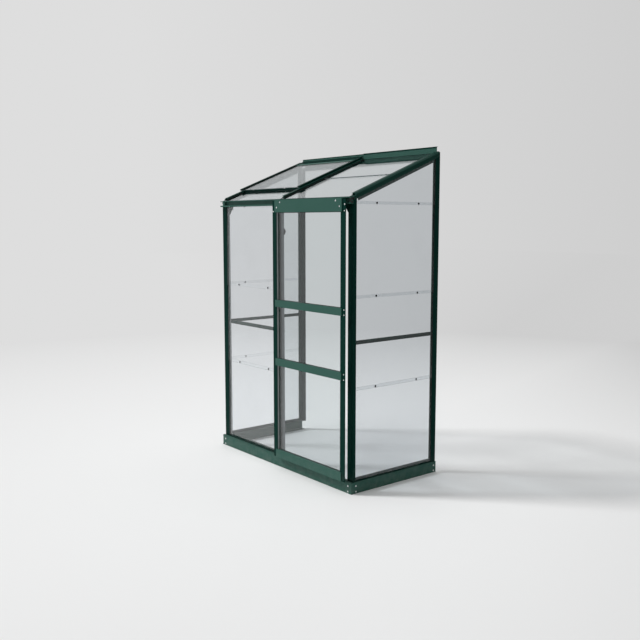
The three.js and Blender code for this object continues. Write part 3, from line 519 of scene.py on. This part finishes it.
finishOfSlot = {
    "rail_paint": railCoat,
    "bar_paint": barCoat,
    "roof_glass": shadedRoofGlass,
    "zinc_steel": zincPlate,
    "black_nylon": blackNylon,
}

finishOfSolid = {  # solids that look different from the rest of their slot
    "door_stop_left": railCoat,
    # the roof bars take the lighter copy of the coat, which is painted light
    "gable_bar_left": litRoofBarCoat,
    "gable_bar_right": litRoofBarCoat,
    "centre_roof_bar": litRoofBarCoat,
    "vent_stay_arm": brushedSteel,
}


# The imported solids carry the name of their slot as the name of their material
def finishFor(name):
    slotName = nodes[name].data.materials[0].name
    if slotName == "wall_glass":
        return finishOfWall[name.split("_")[0]]
    return finishOfSolid.get(name, finishOfSlot[slotName])


for name, solid in nodes.items():
    finish = finishFor(name)
    solid.data.materials.clear()
    solid.data.materials.append(finish)
print("greenhouse: solids painted and glazed")

# Small parts are stacks of rings: each ring is a closed line of points about the part's own axis, at a height

ringSteps = 24
ringTurns = [2 * math.pi * (i + 0.5) / ringSteps for i in range(ringSteps)]
sharpAngle = 35.0  # degrees, a sharper edge than this isn't smoothed


def ringOf(radii, height):
    return [(r * math.cos(turn), r * math.sin(turn), height) for r, turn in zip(radii, ringTurns)]


def roundRing(radius, height):
    return ringOf([radius] * ringSteps, height)


def hexRing(acrossFlats, height):
    sixth = math.pi / 3
    offFlat = [(turn + sixth / 2) % sixth - sixth / 2 for turn in ringTurns]
    return ringOf([acrossFlats / 2 / math.cos(turn) for turn in offFlat], height)


# A cross-shaped ring, for the recess that the screwdriver fits
def crossRing(length, width, height):
    radii = []
    for turn in ringTurns:
        along = abs(math.cos(turn))
        across = abs(math.sin(turn))
        armAlong = min(length / 2 / along, width / 2 / across)
        armAcross = min(width / 2 / along, length / 2 / across)
        radii.append(max(armAlong, armAcross))
    return ringOf(radii, height)


# Rings of a domed head, from its rim up: 'crown' is the share of the radius that stays flat on top
def domeRings(radius, rise, rim, crown, angles):
    rings = []
    for angle in angles:
        bend = math.radians(angle)
        across = radius * (crown + (1 - crown) * math.cos(bend))
        rings.append(roundRing(across, rise * (rim + (1 - rim) * math.sin(bend))))
    return rings


def stackRings(bm, rings, place):
    rows = [[bm.verts.new(place @ Vector(point)) for point in ring] for ring in rings]
    for low, high in zip(rows, rows[1:]):
        for i in range(len(low)):
            j = (i + 1) % len(low)
            bm.faces.new((low[i], low[j], high[j], high[i]))
    bm.faces.new(list(reversed(rows[0])))
    bm.faces.new(rows[-1])


# Where a small part sits: its foot at a point, standing up along a direction, and turned about itself
def standing(point, outward, turn=0.0):
    upright = Vector(outward).normalized().to_track_quat("Z", "Y").to_matrix().to_4x4()
    return Matrix.Translation(point) @ upright @ Matrix.Rotation(turn, 4, "Z")


# A six-sided block from its four lower and four upper corners
def eightCorners(bm, corners):
    made = [bm.verts.new(corner) for corner in corners]
    for face in ((0, 3, 2, 1), (4, 5, 6, 7), (0, 1, 5, 4), (1, 2, 6, 5), (2, 3, 7, 6), (3, 0, 4, 7)):
        bm.faces.new([made[i] for i in face])


def boxOf(bm, low, high):
    sides = ((low[0], low[1]), (high[0], low[1]), (high[0], high[1]), (low[0], high[1]))
    eightCorners(bm, [Vector((x, y, z)) for z in (low[2], high[2]) for x, y in sides])


def roundEdges(bm, width, segments=1):
    bmesh.ops.bevel(bm, geom=bm.edges[:], offset=width, segments=segments, affect="EDGES", profile=0.5)


def finishPiece(name, bm, material, body):
    bmesh.ops.recalc_face_normals(bm, faces=bm.faces)
    mesh = bpy.data.meshes.new(name)
    bm.to_mesh(mesh)
    bm.free()
    mesh.materials.append(material)
    mesh.shade_smooth()
    piece = bpy.data.objects.new(name, mesh)
    bpy.context.scene.collection.objects.link(piece)
    mesh.set_sharp_from_angle(angle=math.radians(sharpAngle))
    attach(piece, body)


screw = {
    "head": 9.4 * mm,
    "height": 2.4 * mm,
    "rim": ((0.97, 0.0), (1.0, 0.18), (1.0, 0.34)),  # shares of radius and height, up to the dome
    "crown": 0.45,
    "dome": (25.0, 50.0, 72.0),  # degrees up the dome at which its rings lie
    "recess": 4.6 * mm,
    "slotWidth": 1.3 * mm,
    "recessTaper": 0.8,
    "recessFloor": 0.45,  # share of the head's height
}


# Pan-head self-tapping screw, seen as its head
def screwHead(bm, point, outward, turn=0.0, size=1.0, height=None):
    radius = screw["head"] * size / 2
    rise = height or screw["height"] * size
    rings = [roundRing(radius * across, rise * up) for across, up in screw["rim"]]
    rings += domeRings(radius, rise, screw["rim"][-1][1], screw["crown"], screw["dome"])
    recess = screw["recess"] * size
    slotWidth = screw["slotWidth"] * size
    taper = screw["recessTaper"]
    rings.append(crossRing(recess, slotWidth, rise))
    rings.append(crossRing(recess * taper, slotWidth * taper, rise * screw["recessFloor"]))
    stackRings(bm, rings, standing(point, outward, turn))


bolt = {
    "nut": 10.0 * mm,
    "nutHeight": 5.0 * mm,
    "nutChamfer": 0.7 * mm,
    "nutTop": 0.47,  # radius of the chamfered top, as a share of the nut
    "washer": 12.5 * mm,
    "washerHeight": 1.2 * mm,
    "nutSeat": 1.02,  # the nut starts at this share of the washer's height
    "thread": 6.0 * mm,
    "bore": 1.12,  # shares of the thread's radius
    "root": 0.88,
    "tip": 0.8,
    "pitch": 1.0 * mm,
    "lead": 0.2 * mm,
    "past": 3.5 * mm,  # thread that stands past the nut
}


# Washer, hexagon nut and the end of its bolt, in one stack
def nutOnBolt(bm, point, outward, turn=0.0):
    top = bolt["washerHeight"] + bolt["nutHeight"]
    end = top + bolt["past"]
    thread = bolt["thread"] / 2
    rings = [
        roundRing(bolt["washer"] / 2, 0.0),
        roundRing(bolt["washer"] / 2, bolt["washerHeight"]),
        hexRing(bolt["nut"], bolt["washerHeight"] * bolt["nutSeat"]),
        hexRing(bolt["nut"], top - bolt["nutChamfer"]),
        roundRing(bolt["nut"] * bolt["nutTop"], top),
        roundRing(thread * bolt["bore"], top),
    ]
    height = top + bolt["lead"]
    while height + bolt["pitch"] < end:
        rings.append(roundRing(thread * bolt["root"], height))
        rings.append(roundRing(thread, height + bolt["pitch"] / 2))
        height += bolt["pitch"]
    rings.append(roundRing(thread * bolt["tip"], end))
    stackRings(bm, rings, standing(point, outward, turn))


# Screws of the door: through the stiles into the ends of each rail, and the hangers in the top rail.
# Each head has a turn of its own, in radians for each metre of its place; the same holds for the bolts

doorScrews = {
    "fromStileEdge": 9.0 * mm,  # in from the outer edge of the stile
    "nearTop": 8.5 * mm,  # from the top and foot of a rail
    "nearFoot": 4.25 * mm,
    "smallHead": 0.72,
    "top": {  # in from the stile's edge, above the foot of the top rail, size of the head
        "left": ((9.0 * mm, 5.0 * mm, 0.75),),
        "right": ((9.0 * mm, 4.0 * mm, 0.7), (6.0 * mm, 37.0 * mm, 1.0)),
    },
    "hangers": ((50.0 * mm, 13.5 * mm), (19.0 * mm, 43.0 * mm)),  # in from the rail's end, down from its top
    "recess": 1.9 * mm,  # the hangers' heads lie in shallow round recesses
    "recessFill": 0.95,  # height of those heads, as a share of the recess
    "turns": {"rail": 31.0, "top": 900.0, "hanger": 40.0},
}


def makeDoorScrews():
    look = doorScrews
    turns = look["turns"]
    topLow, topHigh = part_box("door_top_rail")
    for side, way in (("left", 1), ("right", -1)):
        stileLow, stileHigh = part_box(f"door_stile_{side}")
        edge = stileLow.x if side == "left" else stileHigh.x
        plated = bmesh.new()
        painted = bmesh.new()
        x = edge + way * look["fromStileEdge"]
        for railName in ("bottom", "lower", "upper"):
            railLow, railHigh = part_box(f"door_{railName}_rail")
            heads = painted if railName == "bottom" or side == "left" else plated
            for z in (railLow.z + look["nearFoot"], railHigh.z - look["nearTop"]):
                screwHead(heads, (x, stileLow.y, z), (0, -1, 0), z * turns["rail"], look["smallHead"])
        for inward, above, size in look["top"][side]:
            place = (edge + way * inward, stileLow.y, topLow.z + above)
            screwHead(plated, place, (0, -1, 0), above * turns["top"], size)
        finishPiece(f"door_stile_screws_{side}", plated, zincPlate, "door")
        finishPiece(f"door_painted_screws_{side}", painted, barCoat, "door")

    bm = bmesh.new()
    rise = look["recess"] * look["recessFill"]
    for fromEnd, drop in look["hangers"]:
        for x in (topLow.x + fromEnd, topHigh.x - fromEnd):
            place = (x, topLow.y + look["recess"], topHigh.z - drop)
            screwHead(bm, place, (0, -1, 0), x * turns["hanger"], height=rise)
    finishPiece("door_hanger_screws", bm, zincPlate, "door")


makeDoorScrews()


# Base corner bolts: low heads in the recessed web outside, nuts and an angle cleat inside

baseBolts = {
    "heights": (10.0 * mm, 41.0 * mm),
    "nutLift": 6.0 * mm,  # the nuts stand this far above the heads
    "fromFrontCorner": 30.0 * mm,
    "fromSideCorner": 36.0 * mm,
    "fromWall": 18.0 * mm,
    "recess": 1.6 * mm,
    "web": 2.5 * mm,
    "headSize": 1.05,
    "headHeight": 1.5 * mm,
    "turns": {"front": 50.0, "side": 30.0, "frontNut": 40.0, "sideNut": 20.0},
}

baseCleat = {
    "width": 46.0 * mm,
    "thickness": 2.0 * mm,
    "height": 44.0 * mm,
    "foot": 8.0 * mm,
    "bevel": 0.4 * mm,
}


def makeCleat(side, way, x, y):
    width, thick = baseCleat["width"], baseCleat["thickness"]
    arm = ((x, y), (x, y + width), (x - thick, y + width), (x - thick, y + thick))
    outline = [*arm, (x - width, y + thick), (x - width, y)]
    foot = baseCleat["foot"]
    bm = bmesh.new()
    rows = [[(way * u, v, z) for u, v in outline] for z in (foot, foot + baseCleat["height"])]
    stackRings(bm, rows, Matrix.Identity(4))
    roundEdges(bm, baseCleat["bevel"])
    finishPiece(f"base_cleat_{side}", bm, brushedSteel, "frame")


def makeBaseBolts():
    low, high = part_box("base_front_rail")
    look = baseBolts
    turns, size, rise = look["turns"], look["headSize"], look["headHeight"]
    inset = look["recess"] + look["web"]
    thick = baseCleat["thickness"]
    sideCorner = low.y + look["fromSideCorner"]
    for side, way in (("left", -1), ("right", 1)):
        heads = bmesh.new()
        nuts = bmesh.new()
        for z in look["heights"]:
            nutZ = z + look["nutLift"]
            x = way * (high.x - look["fromFrontCorner"])
            screwHead(heads, (x, low.y + look["recess"], z), (0, -1, 0), z * turns["front"], size, rise)
            nutOnBolt(nuts, (x, low.y + inset + thick, nutZ), (0, 1, 0), z * turns["frontNut"])
            x = way * (high.x - look["recess"])
            for y in (sideCorner - look["recess"], wallY - look["fromWall"]):
                screwHead(heads, (x, y, z), (way, 0, 0), y * turns["side"], size, rise)
            x = way * (high.x - inset - thick)
            nutOnBolt(nuts, (x, sideCorner, nutZ), (-way, 0, 0), z * turns["sideNut"])
        finishPiece(f"base_bolt_heads_{side}", heads, zincPlate, "frame")
        finishPiece(f"base_nuts_{side}", nuts, zincPlate, "frame")
        makeCleat(side, way, high.x - inset, low.y + inset)


makeBaseBolts()


# Lap clips: a black cap on the upper pane and a bent strip that hooks under its foot

lapClip = {
    "cap": 11.5 * mm,
    "capHeight": 3.0 * mm,
    "capRim": 0.35,  # share of its height below the dome
    "capDome": (30.0, 60.0, 84.0),
    "aboveFoot": 8.0 * mm,
    "strip": 6.0 * mm,
    "stripThickness": 0.5 * mm,
    "stripTop": 0.4,  # share of the cap's radius that the strip reaches up behind it
    "sideShares": (0.25, 0.77),
    "frontShares": (0.25, 0.81),
}


# 'along' runs along the pane's foot and 'outward' away from the greenhouse
def lapClipAt(caps, strips, foot, along, outward):
    look = lapClip
    outward = Vector(outward)
    up = Vector((0, 0, 1))
    centre = foot + up * look["aboveFoot"]
    radius, rise, rim = look["cap"] / 2, look["capHeight"], look["capRim"]
    rings = [roundRing(radius, 0.0), roundRing(radius, rim * rise)]
    stackRings(caps, rings + domeRings(radius, rise, rim, 0.0, look["capDome"]), standing(centre, outward))
    half = Vector(along) * look["strip"] / 2
    thick = look["stripThickness"]
    corners = []
    for base in (foot - up * thick * 2, centre + up * (radius * look["stripTop"])):
        corners += [base - half, base + half, base + half + outward * thick, base - half + outward * thick]
    eightCorners(strips, corners)


def makeLapClips():
    look = lapClip
    walls = (
        ("left", (2, 3, 4), look["sideShares"], (0, 1, 0), (-1, 0, 0)),
        ("right", (2, 3, 4), look["sideShares"], (0, 1, 0), (1, 0, 0)),
        ("front", (2, 3), look["frontShares"], (1, 0, 0), (0, -1, 0)),
    )
    for wall, courses, shares, along, outward in walls:
        caps = bmesh.new()
        strips = bmesh.new()
        for course in courses:
            low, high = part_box(f"{wall}_pane_{course}")
            corner = Vector((high.x if wall == "right" else low.x, low.y, low.z))
            length = (high - low).dot(Vector(along))
            for share in shares:
                lapClipAt(caps, strips, corner + Vector(along) * length * share, along, outward)
        finishPiece(f"{wall}_lap_caps", caps, sealRubber, "frame")
        finishPiece(f"{wall}_lap_strips", strips, brushedSteel, "frame")


makeLapClips()
print("greenhouse: screws, bolts and lap clips fitted")


# Glazing seals: a soft bead pressed in the corner between a pane's face and the edge of the bar beside it

seal = {
    "width": 2.2 * mm,
    "height": 1.7 * mm,
    "section": ((0.0, 0.0), (1.0, 0.0), (0.94, 0.42), (0.66, 0.80), (0.28, 1.0), (0.0, 1.0)),
    "doorWidth": 3.0 * mm,
    "doorHeight": 3.0 * mm,
    "doorSideHeight": 7.6 * mm,  # along the stiles the door's pale seal fills the step beside the glass, partly a real seal and partly a painted reflection of the light that step catches
    "cornerEdge": 18.3 * mm,  # edge of a corner post's outer plate, behind its face
    "cornerFrontEdge": 43.3 * mm,  # and in from its side
    "wallEdge": 33.3 * mm,  # edge of a wall post's outer plate, in front of the wall
    "middleEdge": 50.3 * mm,  # left edge of the middle post's cap
    "gableDepth": 28.3 * mm,  # foot of a gable bar's outer plate, below its top
    "roofEdge": 37.3 * mm,  # edge of a gable bar's cap, in from its outer face
    "centreEdge": 12.3 * mm,  # edge of the centre bar's cap
    "ridgeGap": 0.5 * mm,
}


# A bead from start to end: 'over' points out over the pane and 'outward' away from its face
def bead(bm, start, end, over, outward, width=seal["width"], height=seal["height"]):
    over = Vector(over) * width
    outward = Vector(outward) * height
    rows = [[Vector(point) + over * u + outward * v for u, v in seal["section"]] for point in (start, end)]
    stackRings(bm, rows, Matrix.Identity(4))


# Outer face of a pane, the largest that looks that way: one point on it and its direction
def paneFace(name, outward):
    solid = nodes[name]
    towards = Vector(outward)
    best = max(solid.data.polygons, key=lambda face: face.area * max(0.0, face.normal.dot(towards)) ** 4)
    turn = solid.matrix_world.to_3x3()
    return solid.matrix_world @ best.center, (turn @ best.normal).normalized()


# The point of a pane's face at two known places; the third one, given as None, is looked for
def onFace(face, *place):
    point, normal = face
    axis = place.index(None)
    found = Vector([value or 0.0 for value in place])
    reach = sum(normal[i] * (found[i] - point[i]) for i in range(3) if i != axis)
    found[axis] = point[axis] - reach / normal[axis]
    return found


def roofTopAt(y):
    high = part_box("gable_bar_left")[1]
    return high.z + (y - high.y) * math.tan(roofSlope)


def makeSideSeals():
    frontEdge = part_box("corner_post_right")[0].y + seal["cornerEdge"]
    rearEdge = wallY - seal["wallEdge"]
    drop = seal["gableDepth"] / math.cos(roofSlope)
    for wall, way in (("left", -1), ("right", 1)):
        bm = bmesh.new()
        feet = [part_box(f"{wall}_pane_{course}")[0].z for course in (1, 2, 3, 4)]
        for course, foot in enumerate(feet, 1):
            face = paneFace(f"{wall}_pane_{course}", (way, 0, 0))
            for y, over in ((frontEdge, 1), (rearEdge, -1)):
                top = feet[course] if course < len(feet) else roofTopAt(y) - drop
                if top > foot:
                    bead(bm, onFace(face, None, y, foot), onFace(face, None, y, top), (0, over, 0), face[1])
        front, rear = (onFace(face, None, y, roofTopAt(y) - drop) for y in (frontEdge, rearEdge))
        bead(bm, front, rear, -roofNormal, face[1])
        finishPiece(f"{wall}_wall_seals", bm, sealRubber, "frame")


def makeFrontSeals():
    leftEdge = seal["cornerFrontEdge"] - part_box("corner_post_right")[1].x
    feet = [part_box(f"front_pane_{course}")[0].z for course in (1, 2, 3)]
    tops = [*feet[1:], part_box("eaves_beam")[0].z]
    bm = bmesh.new()
    for course, foot, top in zip((1, 2, 3), feet, tops):
        face = paneFace(f"front_pane_{course}", (0, -1, 0))
        for x, over in ((leftEdge, 1), (-seal["middleEdge"], -1)):
            bead(bm, onFace(face, x, None, foot), onFace(face, x, None, top), (over, 0, 0), face[1])
    finishPiece("front_wall_seals", bm, paleSeal, "frame")


# Grey tape behind the front panes, and a draught strip on the middle post that reaches out behind the door

frontStrips = {
    "tape": (22.0 * mm, 0.9 * mm),  # width and thickness
    "tapeInset": 0.3 * mm,
    "tapeBevel": 0.3 * mm,
    "brush": (42.0 * mm, 1.4 * mm),
    "brushStart": 20.0 * mm,  # in from the right-hand edge of the post
    "brushBevel": 0.5 * mm,
    "flange": 2.6 * mm,  # thickness of the posts' inner flange, both lie in front of it
    "aboveFoot": 2.0 * mm,
    "belowBeam": 1.0 * mm,
}


def makeFrontStrips():
    look = frontStrips
    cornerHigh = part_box("corner_post_left")[1]
    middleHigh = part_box("middle_post")[1]
    rear = middleHigh.y - look["flange"]
    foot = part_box("front_pane_1")[0].z + look["aboveFoot"]
    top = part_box("eaves_beam")[0].z - look["belowBeam"]
    bm = bmesh.new()
    width, thick = look["tape"]
    boxOf(bm, (cornerHigh.x - width, rear - thick, foot), (cornerHigh.x - look["tapeInset"], rear, top))
    roundEdges(bm, look["tapeBevel"])
    finishPiece("front_glazing_tape", bm, paleSeal, "frame")

    bm = bmesh.new()
    width, thick = look["brush"]
    left = middleHigh.x - look["brushStart"]
    boxOf(bm, (left, rear - thick, foot), (left + width, rear, top))
    roundEdges(bm, look["brushBevel"])
    finishPiece("door_draught_strip", bm, greyBrush, "frame")


def makeDoorSeals():
    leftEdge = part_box("door_stile_left")[1].x
    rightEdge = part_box("door_stile_right")[0].x
    width, height, sideHeight = seal["doorWidth"], seal["doorHeight"], seal["doorSideHeight"]
    innerLeft, innerRight = leftEdge + width, rightEdge - width
    out = (0, -1, 0)
    rails = ("bottom", "lower", "upper", "top")
    bm = bmesh.new()
    sides = bmesh.new()
    for below, above in zip(rails, rails[1:]):
        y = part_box(f"door_pane_{below}")[0].y
        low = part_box(f"door_{below}_rail")[1].z
        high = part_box(f"door_{above}_rail")[0].z
        for x, over in ((leftEdge, 1), (rightEdge, -1)):
            # pale and tall over the step beside the glass: partly seal, partly painted reflection
            bead(sides, (x, y, low), (x, y, high), (over, 0, 0), out, width, sideHeight)
        for z, over in ((low, 1), (high, -1)):
            bead(bm, (innerLeft, y, z), (innerRight, y, z), (0, 0, over), out, width, height)
    finishPiece("door_rail_seals", bm, sealRubber, "door")
    finishPiece("door_stile_seals_painted_reflection", sides, paleSeal, "door")


def makeRoofSeals():
    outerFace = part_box("gable_bar_right")[1].x
    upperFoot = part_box("roof_pane_upper")[0].y
    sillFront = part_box("vent_sill_bar")[0].y
    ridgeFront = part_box("ridge_cover")[0].y
    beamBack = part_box("eaves_beam")[1].y
    leftBay = (seal["roofEdge"] - outerFace, -seal["centreEdge"])
    rightBay = (seal["centreEdge"], outerFace - seal["roofEdge"])
    panes = (
        ("roof_pane_lower", rightBay, (beamBack, upperFoot)),
        ("roof_pane_upper", rightBay, (upperFoot, ridgeFront - seal["ridgeGap"])),
        ("roof_pane_fixed", leftBay, (beamBack, sillFront)),
    )
    bm = bmesh.new()
    for name, bay, span in panes:
        face = paneFace(name, roofNormal)
        for x, over in zip(bay, (1, -1)):
            start, end = (onFace(face, x, y, None) for y in span)
            bead(bm, start, end, (over, 0, 0), face[1])
    finishPiece("roof_seals", bm, sealRubber, "frame")


# The vent's seal follows the inner edges of its frame, and two bent clips hold the foot of the pane

ventFrame = {
    "rail": 20.3 * mm,  # width of the vent's frame
    "underRail": 11.7 * mm,  # how far the pane runs under the top rail
    "sealFoot": 0.5 * mm,
}

ventFlashing = {
    "length": 36.0 * mm,  # plain strip over the pane, in front of the top rail
    "height": 1.6 * mm,
    "tuck": 0.2 * mm,  # gap beside and below it
    "bevel": 0.3 * mm,
}

ventClip = {
    "width": 14.0 * mm,
    "thickness": 0.8 * mm,
    "reach": 9.0 * mm,
    "drop": 4.4 * mm,
    "lift": 0.2 * mm,  # above the glass
    "gap": 0.6 * mm,  # between the pane's foot and the bent end
    "shares": (0.22, 0.78),
}


def makeVentTrim():
    pane = nodes["vent_pane"]
    point, normal = paneFace("vent_pane", roofNormal)
    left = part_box("vent_stile_left")[0].x + ventFrame["rail"]
    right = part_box("vent_stile_right")[1].x - ventFrame["rail"]
    heights = [(pane.matrix_world @ corner.co).dot(roofUphill) for corner in pane.data.vertices]
    low = min(heights) + ventFrame["sealFoot"]
    high = max(heights) - ventFrame["underRail"]
    top = high - ventFlashing["length"]
    base = point - roofUphill * point.dot(roofUphill)
    base.x = 0.0

    def place(x, uphill):
        return base + roofUphill * uphill + Vector((x, 0.0, 0.0))

    bm = bmesh.new()
    width = seal["width"]
    bead(bm, place(left, low), place(left, top), (1, 0, 0), normal)
    bead(bm, place(right, low), place(right, top), (-1, 0, 0), normal)
    bead(bm, place(left + width, top), place(right - width, top), -roofUphill, normal)
    finishPiece("vent_seal", bm, sealRubber, "vent")

    bm = bmesh.new()
    tuck = ventFlashing["tuck"]
    ends = (left + tuck, right - tuck)
    corners = [*(place(x, top) for x in ends), *(place(x, high) for x in reversed(ends))]
    under = [corner + normal * tuck for corner in corners]
    eightCorners(bm, [*under, *(corner + normal * ventFlashing["height"] for corner in under)])
    roundEdges(bm, ventFlashing["bevel"])
    finishPiece("vent_flashing", bm, railCoat, "vent")

    bm = bmesh.new()
    half = Vector((ventClip["width"] / 2, 0.0, 0.0))
    thick = ventClip["thickness"]
    for share in ventClip["shares"]:
        middle = place(left + share * (right - left), min(heights)) + normal * ventClip["lift"]
        front = middle - roofUphill * ventClip["gap"]
        rear = middle + roofUphill * ventClip["reach"]
        foot = front - normal * ventClip["drop"]
        over = [front - half, front + half, rear + half, rear - half]
        eightCorners(bm, [*over, *(corner + normal * thick for corner in over)])
        lip = [foot - half, foot + half, front + half, front - half]
        eightCorners(bm, [*(corner - roofUphill * thick for corner in lip), *lip])
    finishPiece("vent_pane_clips", bm, brushedSteel, "vent")


# Along the ridge: a flashing that closes the step down to the glass, and on top dark strips in the bar coat,
# a painted shadow under the ridge's upper lip

ridgeTrim = {
    "webFront": 333.75 * mm,  # front of the ridge bar's face
    "flashing": 1.6 * mm,
    "lift": 0.4 * mm,  # its foot above the glass
    "sideGap": 1.0 * mm,
    "underCover": 0.1 * mm,
    "flashingBevel": 0.3 * mm,
    "coverShadowHeight": 8.0 * mm,  # height of the painted shadow strip along the cover's upper edge
    "barShadowHeight": 3.5 * mm,  # and along the ridge bar's
    "edgeProud": 1.0 * mm,
    "edgeGap": 0.5 * mm,
    "edgeBevel": 0.35 * mm,
}


def makeRidgeTrim():
    look = ridgeTrim
    coverLow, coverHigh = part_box("ridge_cover")
    ridgeLow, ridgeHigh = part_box("ridge_bar")
    left = seal["centreEdge"] + look["sideGap"]
    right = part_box("gable_bar_right")[1].x - seal["roofEdge"] - look["sideGap"]
    front = coverLow.y
    rear = front + look["flashing"]
    foot = onFace(paneFace("roof_pane_upper", roofNormal), 0.0, rear, None).z + look["lift"]
    bm = bmesh.new()
    boxOf(bm, (left, front, foot), (right, rear, coverLow.z - look["underCover"]))
    roundEdges(bm, look["flashingBevel"])
    finishPiece("ridge_flashing", bm, railCoat, "frame")

    # Painted shadow: dark strips along the upper edges of the cover and of the ridge bar
    bm = bmesh.new()
    proud, webFront = look["edgeProud"], look["webFront"]
    coverFoot, barFoot = coverHigh.z - look["coverShadowHeight"], ridgeHigh.z - look["barShadowHeight"]
    boxOf(bm, (coverLow.x, front - proud, coverFoot), (coverHigh.x, front, coverHigh.z))
    boxOf(bm, (ridgeLow.x, webFront - proud, barFoot), (coverLow.x - look["edgeGap"], webFront, ridgeHigh.z))
    roundEdges(bm, look["edgeBevel"], 2)
    finishPiece("ridge_painted_shadow_strip", bm, barCoat, "frame")


makeRidgeTrim()
makeSideSeals()
makeFrontSeals()
makeFrontStrips()
makeDoorSeals()
makeRoofSeals()
makeVentTrim()
print("greenhouse: glazing seals, strips and flashings fitted")


# Catch on the middle post: a small moulded nose that keeps the closed door from rattling

doorCatch = {
    "height": 1396.0 * mm,
    "length": 38.0 * mm,
    "reach": 14.0 * mm,
    "thickness": 6.0 * mm,
    "gap": 0.1 * mm,  # beside the draught strip
    "bevel": 0.5 * mm,
    # shares of the reach and of half the length, from the foot up
    "nose": ((0.0, -1.0), (0.35, -0.82), (0.9, -0.14), (1.0, 0.1), (0.8, 0.24), (0.35, 0.7), (0.0, 1.0)),
}


def makeDoorCatch():
    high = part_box("middle_post")[1]
    look = doorCatch
    half = look["length"] / 2
    x = high.x - frontStrips["brushStart"] + frontStrips["brush"][0] + look["gap"]
    outline = [(x + out * look["reach"], look["height"] + up * half) for out, up in look["nose"]]
    bm = bmesh.new()
    rows = [[(u, y, z) for u, z in outline] for y in (high.y - look["thickness"], high.y)]
    stackRings(bm, rows, Matrix.Identity(4))
    roundEdges(bm, look["bevel"], 2)
    finishPiece("door_catch", bm, blackNylon, "frame")


makeDoorCatch()


# Bolts of the gussets in the upper corners, and the nuts of the side braces

jointBolts = {
    # out from the middle of the front, and up
    "gusset": ((577.0 * mm, 1538.5 * mm), (550.0 * mm, 1531.0 * mm), (590.0 * mm, 1500.0 * mm)),
    "headHeight": 1.9 * mm,
    "fromBraceEnd": 9.0 * mm,
    "turns": {"head": 60.0, "nut": 30.0, "brace": 30.0},
}


def makeJointBolts():
    look = jointBolts
    turns = look["turns"]
    for side, way in (("left", -1), ("right", 1)):
        gussetLow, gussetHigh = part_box(f"eaves_gusset_{side}")
        heads = bmesh.new()
        nuts = bmesh.new()
        for x, z in look["gusset"]:
            place = (way * x, gussetLow.y, z)
            screwHead(heads, place, (0, -1, 0), z * turns["head"], height=look["headHeight"])
            nutOnBolt(nuts, (way * x, gussetHigh.y, z), (0, 1, 0), z * turns["nut"])
        finishPiece(f"gusset_bolt_heads_{side}", heads, blackNylon, "frame")
        finishPiece(f"gusset_nuts_{side}", nuts, zincPlate, "frame")

        nuts = bmesh.new()
        braceLow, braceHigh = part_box(f"{side}_side_brace")
        inner = braceLow.x if side == "right" else braceHigh.x
        middle = (braceLow.z + braceHigh.z) / 2
        for y in (braceLow.y + look["fromBraceEnd"], braceHigh.y - look["fromBraceEnd"]):
            nutOnBolt(nuts, (inner, y, middle), (-way, 0, 0), y * turns["brace"])
        finishPiece(f"brace_nuts_{side}", nuts, barCoat, "frame")


# Pads that close the slits between the eaves beam's ends and the feet of the gable bars

footPad = {
    "inside": 0.6 * mm,  # from inside the beam's end to beyond it
    "outside": 4.6 * mm,
    "front": 16.5 * mm,  # in front of the beam's back
    "rear": 14.0 * mm,
    "foot": 16.0 * mm,  # below the beam's top
    "top": 0.5 * mm,
    "bevel": 0.3 * mm,
}


def makeFootPads():
    look = footPad
    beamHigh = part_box("eaves_beam")[1]
    bm = bmesh.new()
    for way in (-1, 1):
        left, right = sorted((way * (beamHigh.x - look["inside"]), way * (beamHigh.x + look["outside"])))
        low = (left, beamHigh.y - look["front"], beamHigh.z - look["foot"])
        boxOf(bm, low, (right, beamHigh.y - look["rear"], beamHigh.z - look["top"]))
    roundEdges(bm, look["bevel"])
    finishPiece("gable_foot_pads", bm, blackNylon, "frame")


# Screw in the right-hand door stop, and the plug in the left-hand end of the vent's hinge

stopScrew = {"size": 0.8, "turn": 0.6}

hingePlug = {
    "axis": (335.0 * mm, 1849.0 * mm),  # of the vent's hinge, y and z
    "radius": 4.5 * mm,
    "inside": 3.0 * mm,
    "rim": 6.4 * mm,
    "rimWidth": 1.4 * mm,
    "reach": 2.2 * mm,
    "crown": 0.82,  # share of the rim's radius at its outer end
}


def makeStopScrew():
    stopLow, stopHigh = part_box("door_stop_right")
    bm = bmesh.new()
    place = (stopHigh.x, (stopLow.y + stopHigh.y) / 2, (stopLow.z + stopHigh.z) / 2)
    screwHead(bm, place, (1, 0, 0), stopScrew["turn"], stopScrew["size"])
    finishPiece("door_stop_screw", bm, railCoat, "frame")


def makeHingePlug():
    look = hingePlug
    inside, rim = look["inside"], look["rim"]
    rings = [
        roundRing(look["radius"], 0.0),
        roundRing(look["radius"], inside),
        roundRing(rim, inside),
        roundRing(rim, inside + look["rimWidth"]),
        roundRing(rim * look["crown"], inside + look["reach"]),
    ]
    bm = bmesh.new()
    place = Vector((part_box("ridge_bar")[0].x + inside, *look["axis"]))
    stackRings(bm, rings, standing(place, (-1, 0, 0)))
    finishPiece("hinge_plug", bm, blackNylon, "frame")


makeJointBolts()
makeFootPads()
makeStopScrew()
makeHingePlug()
print("greenhouse: catch, joint bolts, pads and plug fitted")
